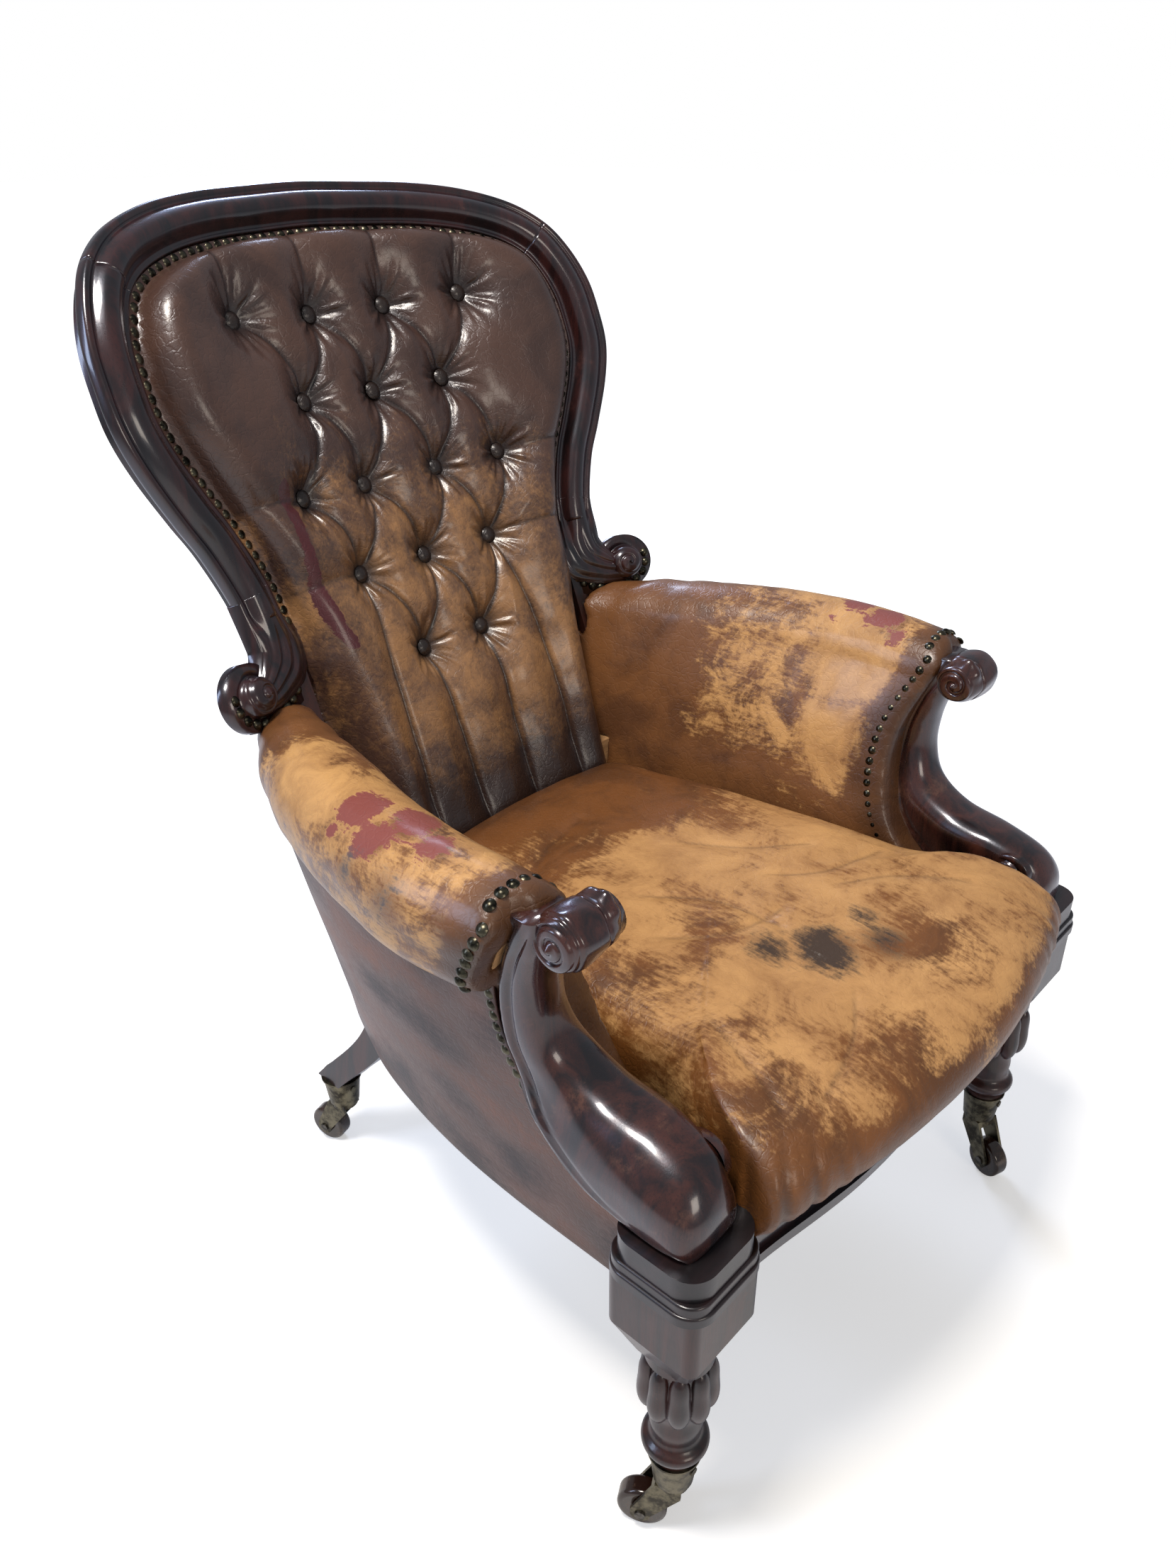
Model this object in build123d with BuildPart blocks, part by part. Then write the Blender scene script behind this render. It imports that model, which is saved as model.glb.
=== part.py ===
from build123d import *
import os
from math import asin, ceil, cos, hypot, radians, sin, sqrt, tan

# A buttoned leather library armchair with a moulded show-wood frame, on four castors.
# Millimetres. The chair faces -Y, +X is at the sitter's left, and the floor is at z = 0,
# under the middle of the chair.

# Castors: a wheel in a horn that swivels under a cup.
wheel_radius = 21.0
wheel_width = 18.0
wheel_edge_round = 4.0
wheel_side_gap = 1.2          # between the wheel and each cheek of the horn
running_gap = 0.05            # radial gap of a pin in its hole
axle_radius = 3.0
axle_head_radius = 4.6
axle_head_height = 1.6
castor_trail = 24.0           # from the swivel axis to the axle
cheek_thickness = 3.0
cheek_eye_radius = 8.5
horn_top_width = 26.0
horn_height = 45.0            # from the axle to the horn's top face
horn_crown_thickness = 6.0
swivel_pin_radius = 4.0
swivel_gap = 0.4              # between the horn and the cup's floor
rivet_head_radius = 6.5
rivet_head_height = 3.0
rivet_clearance = 0.6
cup_height = 36.0
cup_floor = 5.0
cup_wall = 2.2
cup_foot_radius = 16.5
cup_mouth_radius = 20.0
cup_lip_radius = 22.0
cup_lip_height = 4.0
cup_screw_radius = 2.0
cup_screw_length = 12.0
cup_screw_head_radius = 3.6
cup_screw_head_height = 1.4

axle_z = wheel_radius
horn_top_z = axle_z + horn_height
cup_foot_z = horn_top_z + swivel_gap
leg_foot_z = cup_foot_z + cup_floor      # the end grain of the leg, in the cup
cup_mouth_z = cup_foot_z + cup_height

# Front legs: a square block over a turned leg.
front_leg_x = 270.0
front_leg_y = -314.0
block_width = 80.0
block_corner_round = 9.0
block_height = 53.0           # the straight part of the block
block_taper_height = 32.0     # below it, drawn in to the turning
block_neck_width = 54.0
collar_radius = 27.0
turned_height = 130.0         # from the cup's mouth to the block's neck
lobe_count = 9
lobe_radius = 9.5
lobe_ring_radius = 22.5
lobe_length = 62.0
lobe_middle_share = 0.69       # of the turned height
lobe_shares = [(0.5, 0.0), (0.40, 0.62), (0.12, 0.90), (-0.14, 1.0), (-0.38, 0.66), (-0.5, 0.0)]
turning_radius = 27.0         # what the shares of the turned outline scale
turning_shares = [            # (height share, radius share), from the cup's mouth up
    (0.0, 0.74), (0.05, 0.78), (0.10, 0.97), (0.16, 0.97), (0.19, 0.80),
    (0.30, 0.78), (0.42, 0.74), (0.50, 0.80), (0.60, 0.90), (0.78, 0.92),
    (0.88, 0.86), (0.93, 0.92)]

block_neck_z = cup_mouth_z + turned_height
block_bottom_z = block_neck_z + block_taper_height
block_top_z = block_bottom_z + block_height

# The moulded cap on each block, in three steps.
cap_step_height = 9.0
cap_top_height = 20.0
cap_steps = 2
cap_overhang = 4.0
cap_step_in = 4.0
cap_round = 22.0
cap_top_z = block_top_z + cap_steps * cap_step_height + cap_top_height

# Seat frame.
rail_over_neck = 9.0          # of the rails' underside over the leg's neck
rail_bottom_z = block_neck_z + rail_over_neck
rail_height = 65.0
rail_thickness = 28.0
rail_top_z = rail_bottom_z + rail_height
front_rail_depth = 30.0       # at its ends, behind its serpentine front
front_rail_bow = 22.0
front_rail_setback = 34.0     # from the block's front face to the rail's ends
front_rail_bead = 4.0
front_rail_bead_height = 9.0
front_rail_shares = [         # (half width share, bow share), from the middle out
    (0.0, 1.0), (0.28, 0.88), (0.55, 0.48), (0.78, 0.10), (1.0, 0.0)]
joint_gap = 0.3               # leather and stuffing beside wood

# The tub: the outline of the outside leather at the seat rail and under the arm rolls,
# from the front leg round to the back corner. Shares are of tub_half_width and tub_depth.
tub_half_width = 300.0
tub_depth = 500.0
tub_front_overlap = 14.0      # of the side leather on the front leg's block
tub_front_y = front_leg_y + block_width / 2 - tub_front_overlap
arm_underside_rise = 195.0    # over the rails
arm_underside_z = rail_top_z + arm_underside_rise
leather_thickness = 4.0       # outside leather on its canvas
tub_top_shares = [
    (1.0, 0.12), (1.0, 0.21), (1.0, 0.37), (0.997, 0.51), (0.97, 0.67), (0.92, 0.79),
    (0.85, 0.88), (0.76, 0.95), (0.69, 0.976)]
tub_bottom_shares = [
    (0.877, 0.0), (0.877, 0.15), (0.873, 0.30), (0.862, 0.44), (0.83, 0.58),
    (0.785, 0.70), (0.725, 0.80), (0.668, 0.88), (0.62, 0.925)]

# Back: a spoon outline on a board that is bent round the sitter and leans back.
back_rake = 21.0
back_foot_y = 238.0           # where the middle of the curved face stands at back_foot_z
back_foot_rise = 290.0        # over the rails
back_foot_z = rail_top_z + back_foot_rise
back_curve_radius = 640.0
back_half_width = 286.0
back_height = 407.0
frame_width = 52.0
frame_thickness = 26.0
front_board = 11.0            # of that, at the full width
back_board_inset = 13.0       # of the rest, from the edge
lip_width = 7.0
roll_width = 27.0
roll_rise = 11.0
outline_shares = [            # (half width share, height share), from the scroll up
    (0.772, 0.047), (0.783, 0.130), (0.834, 0.238), (0.890, 0.315), (0.958, 0.418),
    (0.995, 0.506), (1.0, 0.590), (0.990, 0.676), (0.951, 0.762), (0.888, 0.835),
    (0.776, 0.899), (0.612, 0.948), (0.420, 0.978), (0.210, 0.993), (0.0, 1.0)]
shoulder_point = 9            # which outline point the shoulder joint is cut at
scroll_width = 92.0
scroll_drop = 66.0
scroll_radius = 18.0
scroll_eye_radius = 9.5
scroll_eye_rise = 5.0
scroll_margin = 12.0          # the nailed edge under the scroll
scroll_thickness = 13.0
scroll_outer_shares = [(0.57, 0.23), (0.67, 0.48)]      # (width share, drop share)
scroll_eye_share = (0.80, 0.70)
scroll_under_shares = [(0.41, 0.91), (0.10, 0.70), (-0.01, 0.33)]
dowel_radius = 5.0
dowel_length = 40.0

# Nails.
nail_radius = 4.9
nail_height = 3.4
nail_pitch = 10.7
shank_radius = 0.9
shank_length = 7.0
nail_edge = 6.0               # from the frame's inner edge to the nail line
tack_radius = 2.6
tack_height = 1.8
tack_pitch = 6.2

# Buttoned back pad. Its crown is how far the leather stands before the frame's face.
pad_back = 20.0
pad_edge_lift = 3.0
crown_rise = 40.0
crown_shares = [              # (height share, crown share, half width share)
    (-0.700, 1.00, 0.525), (-0.467, 1.15, 0.535), (-0.246, 1.20, 0.555),
    (-0.049, 1.10, 0.598), (0.147, 1.02, 0.640), (0.369, 0.95, 0.800),
    (0.590, 0.88, 0.850), (0.762, 0.72, 0.800), (0.868, 0.15, 0.700)]
button_rows = [               # (height share, lift share, half width shares of the buttons)
    (0.703, 0.28, (0.154, 0.469)), (0.516, 0.36, (0.0, 0.297)),
    (0.313, 0.40, (0.160, 0.437)), (0.120, 0.40, (0.0, 0.297)),
    (-0.088, 0.52, (0.140,))]
button_radius = 8.0
button_height = 5.0
tuft_mouth_radius = 25.0
tuft_floor_radius = 9.5
pleat_width = 15.0
pleat_depth = 9.0

# Arms: a stuffed roll over a beech rail, with its leather drawn down to the seat.
arm_front_y = -190.0
arm_length = 395.0
arm_reference_rise = 55.0     # level at which the arm's length is measured
arm_reference_z = arm_underside_z + arm_reference_rise
arm_half_width = 333.0
arm_height = 90.0             # of the roll, over its underside
arm_shares = [    # length, rake, outer x, inner x, top z, seat x, panel x, foot x (shares)
    (0.0, 0.85, 0.985, 0.765, 0.95, 0.705, 0.884, 0.785),
    (0.18, 0.85, 1.003, 0.760, 1.00, 0.613, 0.884, 0.785),
    (0.38, 0.86, 0.994, 0.730, 1.00, 0.598, 0.882, 0.778),
    (0.58, 0.90, 0.943, 0.667, 0.97, 0.565, 0.868, 0.768),
    (0.78, 0.95, 0.862, 0.607, 0.89, 0.517, 0.815, 0.735),
    (0.92, 1.0, 0.769, 0.565, 0.80, 0.475, 0.735, 0.680),
    (1.0, 1.0, 0.697, 0.535, 0.74, 0.450, 0.660, 0.640)]
arm_seat_level = 90.0         # height over the rail where the inner side bulges most
arm_foot_share = 0.012        # of the half width, that the inner side tucks in by at its foot
arm_tuck_share = 0.022        # the same for the roll's underside
arm_shoulder_share = 0.58     # of the roll's height, where its inner side starts
arm_widest_share = 0.40
arm_under_share = 0.12
arm_rail_width = 30.0
arm_rail_height = 28.0
arm_rail_drop = 56.0          # from the roll's top to the rail's middle

# Arm facings: carved S scrolls that stand on the caps.
facing_width = 76.0
facing_back_y = -163.0
facing_reach = 178.0
facing_height = 224.0
facing_front_shares = [       # (reach share, height share), from the knee up
    (1.0, 0.0), (0.992, 0.14), (0.905, 0.225), (0.736, 0.275), (0.550, 0.315),
    (0.345, 0.395), (0.226, 0.54), (0.192, 0.68), (0.215, 0.79)]
facing_back_shares = [        # from the top down
    (0.150, 0.985), (0.10, 0.875), (0.03, 0.74), (0.0, 0.60), (0.014, 0.44), (0.124, 0.22),
    (0.354, 0.06), (0.624, 0.0)]
facing_volute_share = (0.27, 0.885)
facing_volute_radius = 22.0
facing_eye_radius = 11.0
facing_eye_rise = 4.0
facing_knee_share = (0.70, 0.12)
facing_side_shares = [        # (height share, half width share)
    (-0.02, 0.90), (0.14, 0.97), (0.28, 0.82), (0.53, 0.60), (0.75, 0.62),
    (0.90, 0.74), (1.04, 0.60)]

# Seat: leather over stuffing, on springs and webbing.
seat_front_overhang = 42.0    # of the leather before the rail's ends
seat_back_y = 112.0
seat_front_half_width = 238.0
seat_mid_half_width = 200.0
seat_back_half_width = 148.0
seat_height = 116.0           # over the rails
seat_front_bow = 38.0
seat_back_bow = 12.0
seat_side_y = -232.0
seat_skin = 2.6
seat_shares = [               # height, overhang, side inset, back inset, bow (shares)
    (0.0, 0.0, 0.0, 0.0, 0.55), (0.22, 0.55, 0.0, 0.0, 0.80), (0.52, 1.0, 0.0, 0.0, 1.0),
    (0.80, 0.62, 0.06, 0.02, 0.95), (0.94, -0.40, 0.20, 0.10, 0.80),
    (1.0, -1.2, 0.40, 0.25, 0.70)]
seat_inset_unit = 110.0
well_half_width = 150.0
well_front_y = -268.0
well_back_y = 62.0
well_height = 40.0            # over the rails
canvas_thickness = 1.6
webbing_width = 50.0
webbing_thickness = 1.5
webbing_count = 4
webbing_pitch = 84.0
spring_wire_radius = 2.0
spring_end_radius = 38.0
spring_waist_radius = 24.0
spring_half_turns = 10
spring_gap_points = 12        # a half turn, on which the gap is measured
spring_rows = 3
spring_pitch = 96.0
cloth_thickness = 1.0
cloth_inset = 5.0
cloth_clearance = 1.5         # round the raked rear legs

# Rear legs: one with the uprights of the back.
rear_foot_x = 184.0
rear_foot_y = 226.0
rear_leg_shoulder = 36.0      # width of the leg at the cup
rear_leg_width = 40.0         # at the seat rail
rear_leg_x = 168.0
rear_leg_y = 132.0
rear_leg_shares = [(0.0, 1.0), (0.22, 0.72), (0.45, 0.42), (0.70, 0.16), (1.0, 0.0)]
upright_width = 30.0
upright_top_x = 190.0

# Corner blocks.
corner_block_leg = 58.0
corner_block_height = 40.0
block_screw_radius = 2.2
block_screw_length = 46.0
block_screw_head_radius = 4.4
block_screw_head_height = 2.2
overrun = 20.0

os.makedirs("parts", exist_ok=True)


def scaled(shares, across, along, start_across=0.0, start_along=0.0):
    # Turns a table of shares into points.
    return [(start_across + a * across, start_along + b * along) for a, b in shares]


def inset(points, distance):
    # The same line moved to its left by a distance, point by point.
    moved = []
    last = len(points) - 1
    for i, (x, y) in enumerate(points):
        x0, y0 = points[max(i - 1, 0)]
        x1, y1 = points[min(i + 1, last)]
        run = hypot(x1 - x0, y1 - y0)
        moved.append((x - distance * (y1 - y0) / run, y + distance * (x1 - x0) / run))
    return moved


def between(low, high, share):
    return low + (high - low) * share


def table_value(table, key, column):
    # Straight-line value of a column at a key that lies in the table's first column.
    for low, high in zip(table, table[1:]):
        if low[0] <= key <= high[0]:
            return between(low[column], high[column], (key - low[0]) / (high[0] - low[0]))
    return table[-1][column] if key > table[-1][0] else table[0][column]


def mirrored(shape):
    return mirror(shape, about=Plane.YZ)


def save(shape, name):
    shape.label = name
    export_step(shape, f"parts/{name}.step")


def save_pair(shape, name):
    # The piece as drawn is the one at +X, the sitter's left.
    save(shape, f"{name}_left")
    save(mirrored(shape), f"{name}_right")


# The curved back: flat sketches on the leaning plane, cut from bent boards.

back_plane = Plane(origin=(0, back_foot_y, back_foot_z), x_dir=(1, 0, 0),
                   z_dir=(0, -cos(radians(back_rake)), sin(radians(back_rake))))

back_top_plane = Plane(origin=back_plane.origin + back_plane.y_dir * (back_height + overrun),
                       x_dir=(1, 0, 0), z_dir=-back_plane.y_dir)
half_outline = scaled(outline_shares, back_half_width, back_height)
full_outline = half_outline + [(-u, v) for u, v in reversed(half_outline[:-1])]
crest_slice = slice(shoulder_point, len(full_outline) - shoulder_point)
stile_slice = slice(0, shoulder_point + 1)


def bent_board(front, back):
    # A board as wide as the back, from `front` before its curved face to `back` behind it.
    with BuildPart() as board:
        with BuildSketch(back_top_plane):
            with Locations((0, back_curve_radius)):
                Circle(back_curve_radius + back)
                Circle(back_curve_radius - front, mode=Mode.SUBTRACT)
            Rectangle(2 * (back_half_width + overrun), back_curve_radius, mode=Mode.INTERSECT)
        extrude(amount=2 * back_height)
    return board.part


def ribbon(piece, near, far):
    # The strip of the spoon outline between two distances in from its edge.
    outer = inset(full_outline, near)[piece]
    inner = inset(full_outline, far)[piece]
    with BuildLine() as edge:
        Spline(*outer)
        Line(outer[-1], inner[-1])
        Spline(*reversed(inner))
        Line(inner[0], outer[0])
    return edge.edges()


def strip(piece, near, far, front, back):
    with BuildPart() as body:
        with BuildSketch(back_plane):
            make_face(ribbon(piece, near, far))
        extrude(amount=back_curve_radius / 2, both=True)
        add(bent_board(front, back), mode=Mode.INTERSECT)
    return body.part


def moulding(piece):
    # A flat board, narrower behind, with a broad roll standing on it, inside a thin lip.
    board = strip(piece, 0, frame_width, 0, front_board)
    behind = strip(piece, back_board_inset, frame_width, 0, frame_thickness)
    roll = strip(piece, lip_width, lip_width + roll_width, roll_rise, 0)
    with BuildPart() as body:
        add(board)
        add(behind)
        add(roll)
    return body.part


def curve_depth(u):
    # How far the bent board stands forward of its middle.
    return back_curve_radius - sqrt(back_curve_radius ** 2 - u ** 2)


def back_spot(u, v, lift):
    # A plane on the curved face at a place of the flat outline, facing out of it.
    turn = asin(u / back_curve_radius)
    reach = back_curve_radius - lift
    x, w = reach * sin(turn), back_curve_radius - reach * cos(turn)
    origin = back_plane.origin + back_plane.x_dir * x + back_plane.y_dir * v
    normal = back_plane.z_dir * cos(turn) - back_plane.x_dir * sin(turn)
    return Plane(origin=origin + back_plane.z_dir * w, x_dir=back_plane.y_dir, z_dir=normal)


def scroll_spot():
    x0, y0 = inset(full_outline, frame_width)[0]
    return (x0 + scroll_eye_share[0] * scroll_width, y0 - scroll_eye_share[1] * scroll_drop)


def scroll_shape(margin):
    # The hook that each stile ends in, with its lower edge let down by a margin.
    x0, y0 = inset(full_outline, frame_width)[0]
    drop = scroll_drop + margin
    eye = scroll_spot()
    over = scaled(scroll_outer_shares, scroll_width, -scroll_drop, x0, y0)
    under = scaled(scroll_under_shares, scroll_width, -drop, x0, y0)
    with BuildLine() as edge:
        Spline(full_outline[0], *over)
        Line(over[-1], eye)
        Line(eye, (eye[0], y0 - drop))
        Spline((eye[0], y0 - drop), *under, (x0, y0))
        Line((x0, y0), full_outline[0])
    with BuildSketch() as hook:
        make_face(edge.edges())
        with Locations(eye):
            Circle(scroll_radius + margin)
    return hook.sketch


def scroll_layer(margin, front, back):
    with BuildPart() as body:
        with BuildSketch(back_plane):
            add(scroll_shape(margin))
        extrude(amount=back_curve_radius / 2, both=True)
        add(bent_board(front, back), mode=Mode.INTERSECT)
    return body.part


def scroll_eye():
    spot = back_spot(*scroll_spot(), roll_rise)
    with BuildPart() as eye:
        with BuildSketch(spot.offset(-roll_rise)):
            Circle(scroll_eye_radius)
        extrude(amount=roll_rise + scroll_eye_rise)
        fillet(eye.faces().sort_by(Axis(spot.origin, spot.z_dir))[-1].edges(),
               scroll_eye_rise / 2)
    return eye.part


def make_crest_and_stiles():
    with BuildPart() as crest_rail:
        add(moulding(crest_slice))
    layers = (moulding(stile_slice), scroll_layer(scroll_margin, 0, scroll_thickness),
              scroll_layer(0, roll_rise, 0), scroll_eye())
    with BuildPart() as back_stile:
        for layer in layers:
            add(layer)
    return crest_rail.part, back_stile.part


def make_dowels():
    # One dowel across each shoulder joint of the back frame.
    near, far = (inset(full_outline, d)[shoulder_point] for d in (lip_width, frame_width))
    u, v = (near[0] + far[0]) / 2, (near[1] + far[1]) / 2
    spot = back_spot(u, v, -frame_thickness / 2)
    before, after = full_outline[shoulder_point - 1], full_outline[shoulder_point + 1]
    along = spot.x_dir * (after[1] - before[1]) - spot.y_dir * (after[0] - before[0])
    with BuildPart() as dowels:
        with BuildSketch(Plane(origin=spot.origin, z_dir=along)):
            Circle(dowel_radius)
        extrude(amount=dowel_length / 2, both=True)
        mirror(about=Plane.YZ)
    return dowels.part


# Front legs, caps and castors.

def leg_turning():
    # The turned leg over its tenon, as one outline round the leg's axis.
    points = [(share_r * turning_radius, cup_mouth_z + share_z * turned_height)
              for share_z, share_r in turning_shares]
    top = points[-1][1]
    with BuildPart() as turning:
        with BuildSketch(Plane.XZ):
            with BuildLine():
                Polyline((0, leg_foot_z), (cup_foot_radius - cup_wall, leg_foot_z),
                         (cup_mouth_radius - cup_wall, cup_mouth_z), points[0])
                Spline(*points)
                Polyline(points[-1], (collar_radius, top), (collar_radius, block_neck_z),
                         (0, block_neck_z), (0, leg_foot_z))
            make_face()
        revolve(axis=Axis.Z)
        with BuildSketch(Plane.XY.offset(leg_foot_z)):
            Circle(rivet_head_radius + rivet_clearance)
        extrude(amount=rivet_head_height + rivet_clearance, mode=Mode.SUBTRACT)
    return turning.part


def leg_lobes():
    # A ring of upright lobes that stand out round the turning.
    middle = cup_mouth_z + lobe_middle_share * turned_height
    outline = [(r * lobe_radius, middle + h * lobe_length) for h, r in lobe_shares]
    with BuildPart() as lobe:
        with BuildSketch(Plane.XZ):
            with BuildLine():
                Spline(*outline)
                Line(outline[-1], outline[0])
            make_face()
        revolve(axis=Axis.Z)
    with BuildPart() as lobes:
        with PolarLocations(lobe_ring_radius, lobe_count):
            add(lobe.part)
    return lobes.part


def make_front_leg():
    turning, lobes = leg_turning(), leg_lobes()
    with BuildPart() as front_leg:
        with BuildSketch(Plane.XY.offset(block_bottom_z)) as square:
            RectangleRounded(block_width, block_width, block_corner_round)
        extrude(amount=block_height)
        with BuildSketch(Plane.XY.offset(block_bottom_z)):
            RectangleRounded(block_width, block_width, block_corner_round)
        with BuildSketch(Plane.XY.offset(block_neck_z)):
            RectangleRounded(block_neck_width, block_neck_width, block_corner_round)
        loft()
        add(turning)
        add(lobes)
    return front_leg.part.moved(Location((front_leg_x, front_leg_y, 0)))


def make_cap():
    # Two stepped mouldings under a rounded shelf that carries the arm facing.
    with BuildPart() as cap:
        for step in range(cap_steps):
            width = block_width + 2 * cap_overhang - step * cap_step_in
            with BuildSketch(Plane.XY.offset(block_top_z + step * cap_step_height)):
                RectangleRounded(width, width, cap_round - step * cap_step_in)
            extrude(amount=cap_step_height)
            fillet(cap.faces().sort_by(Axis.Z)[-1].edges(), cap_step_in / 2)
        with BuildSketch(Plane.XY.offset(cap_top_z - cap_top_height)):
            RectangleRounded(block_width, block_width, cap_round)
        extrude(amount=cap_top_height)
    return cap.part.moved(Location((front_leg_x, front_leg_y, 0)))


def make_cup():
    # A tapered brass cup with a lip, and the swivel's bore through its floor.
    outline = [(0, cup_foot_z), (cup_foot_radius, cup_foot_z),
               (cup_mouth_radius, cup_mouth_z - cup_lip_height),
               (cup_lip_radius, cup_mouth_z - cup_lip_height / 2),
               (cup_lip_radius, cup_mouth_z),
               (cup_mouth_radius - cup_wall, cup_mouth_z),
               (cup_foot_radius - cup_wall, leg_foot_z), (0, leg_foot_z)]
    with BuildPart() as cup:
        with BuildSketch(Plane.XZ):
            with BuildLine():
                Polyline(*outline, close=True)
            make_face()
        revolve(axis=Axis.Z)
        with BuildSketch(Plane.XY.offset(cup_foot_z)):
            Circle(swivel_pin_radius + running_gap)
        extrude(amount=cup_floor, mode=Mode.SUBTRACT)
    return cup.part


def make_horn():
    # The swivel pin with its riveted head, the crown and two cheeks down to the axle.
    # The castor trails towards +X here.
    cheek_inner = wheel_width / 2 + wheel_side_gap
    with BuildPart() as horn:
        with BuildSketch(Plane.XY.offset(horn_top_z)):
            Circle(cup_foot_radius - cup_wall)
        extrude(amount=-horn_crown_thickness)
        with BuildSketch(Plane.XY.offset(horn_top_z)):
            Circle(swivel_pin_radius)
        extrude(amount=swivel_gap + cup_floor + rivet_head_height / 2)
        with BuildSketch(Plane.XY.offset(leg_foot_z + rivet_clearance / 2)):
            Circle(rivet_head_radius)
        extrude(amount=rivet_head_height - rivet_clearance)
        crown_z = horn_top_z - horn_crown_thickness
        with BuildSketch(Plane.XZ.offset(-cheek_inner - cheek_thickness)):
            with BuildLine():
                Polyline((-horn_top_width / 3, horn_top_z), (horn_top_width / 2, horn_top_z),
                         (castor_trail + cheek_eye_radius, axle_z + cheek_eye_radius / 2),
                         (castor_trail, axle_z - cheek_eye_radius * 0.9),
                         (castor_trail - cheek_eye_radius, axle_z),
                         (-horn_top_width / 3, crown_z - horn_crown_thickness), close=True)
            make_face()
            with Locations((castor_trail, axle_z)):
                Circle(cheek_eye_radius)
        extrude(amount=2 * (cheek_inner + cheek_thickness))
        with BuildSketch(Plane.XY.offset(crown_z)):
            with Locations((castor_trail / 2, 0)):
                Rectangle(4 * castor_trail, 2 * cheek_inner)
        extrude(amount=-crown_z, mode=Mode.SUBTRACT)
        with BuildSketch(Plane.XZ.offset(-cheek_inner - cheek_thickness)):
            with Locations((castor_trail, axle_z)):
                Circle(axle_radius)
        extrude(amount=2 * (cheek_inner + cheek_thickness), mode=Mode.SUBTRACT)
    return horn.part


def make_axle():
    half = wheel_width / 2 + wheel_side_gap + cheek_thickness
    with BuildPart() as axle:
        with BuildSketch(Plane.XZ.offset(-half)):
            with Locations((castor_trail, axle_z)):
                Circle(axle_radius)
        extrude(amount=2 * half)
        for side in (half, -half - axle_head_height):
            with BuildSketch(Plane.XZ.offset(side)):
                with Locations((castor_trail, axle_z)):
                    Circle(axle_head_radius)
            extrude(amount=axle_head_height)
    return axle.part


def make_wheel():
    with BuildPart() as wheel:
        with BuildSketch(Plane.XZ.offset(-wheel_width / 2)):
            with Locations((castor_trail, axle_z)):
                Circle(wheel_radius)
        extrude(amount=wheel_width)
        fillet(wheel.edges().filter_by(GeomType.CIRCLE), wheel_edge_round)
        with BuildSketch(Plane.XZ.offset(-wheel_width / 2)):
            with Locations((castor_trail, axle_z)):
                Circle(axle_radius + running_gap)
        extrude(amount=wheel_width, mode=Mode.SUBTRACT)
    return wheel.part


def make_cup_screws():
    # Two domed screws through the cup's wall into the leg.
    level = cup_mouth_z - cup_height / 3
    start = cup_mouth_radius - cup_wall / 2
    with BuildPart() as screws:
        for side in (1, -1):
            with BuildSketch(Plane(origin=(0, side * start, level), z_dir=(0, side, 0))):
                Circle(cup_screw_head_radius)
            extrude(amount=cup_screw_head_height)
            with BuildSketch(Plane(origin=(0, side * start, level), z_dir=(0, -side, 0))):
                Circle(cup_screw_radius)
            extrude(amount=cup_screw_length)
    return screws.part


castor_places = {             # leg, its place and the way the castor trails, in degrees
    "front_left": (front_leg_x, front_leg_y, 250.0),
    "front_right": (-front_leg_x, front_leg_y, 118.0),
    "rear_left": (rear_foot_x, rear_foot_y, 60.0),
    "rear_right": (-rear_foot_x, rear_foot_y, 105.0)}


def save_castors():
    horn, axle, wheel = make_horn(), make_axle(), make_wheel()
    cup, screws = make_cup(), make_cup_screws()
    for place, (x, y, turn) in castor_places.items():
        spot = Location((x, y, 0), (0, 0, turn))
        save(cup.moved(Location((x, y, 0))), f"castor_cup_{place}")
        save(horn.moved(spot), f"castor_horn_{place}")
        save(axle.moved(spot), f"castor_axle_{place}")
        save(wheel.moved(spot), f"castor_wheel_{place}")
    with BuildPart() as castor_screws:
        with Locations(*[Location((x, y, 0)) for x, y, turn in castor_places.values()]):
            add(screws)
    save(castor_screws.part, "castor_screws")


# Seat frame.

def tub_line(height_share, inward):
    # The tub's outline at a share of the way from the seat rail's underside to the arms,
    # moved in by a distance.
    low = [(a * tub_half_width, tub_front_y + b * tub_depth) for a, b in tub_bottom_shares]
    top = [(a * tub_half_width, tub_front_y + b * tub_depth) for a, b in tub_top_shares]
    mixed = [(between(x0, x1, height_share), between(y0, y1, height_share))
             for (x0, y0), (x1, y1) in zip(low, top)]
    return inset(mixed, inward)


def tub_band(low_z, high_z, outer, inner):
    # A wall that follows the tub between two heights and two distances in.
    span = arm_underside_z - rail_bottom_z
    with BuildPart() as band:
        for level in (low_z, high_z):
            share = (level - rail_bottom_z) / span
            outside, inside = tub_line(share, outer), tub_line(share, inner)
            with BuildSketch(Plane.XY.offset(level)):
                with BuildLine():
                    Spline(*outside)
                    Line(outside[-1], inside[-1])
                    Spline(*reversed(inside))
                    Line(inside[0], outside[0])
                make_face()
        loft()
    return band.part


def without(shape, *others):
    # The main piece that is left of a shape where the others stand.
    with BuildPart() as rest:
        add(shape)
        for other in others:
            add(other, mode=Mode.SUBTRACT)
    return rest.part.solids().sort_by(SortBy.VOLUME)[-1]


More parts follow.
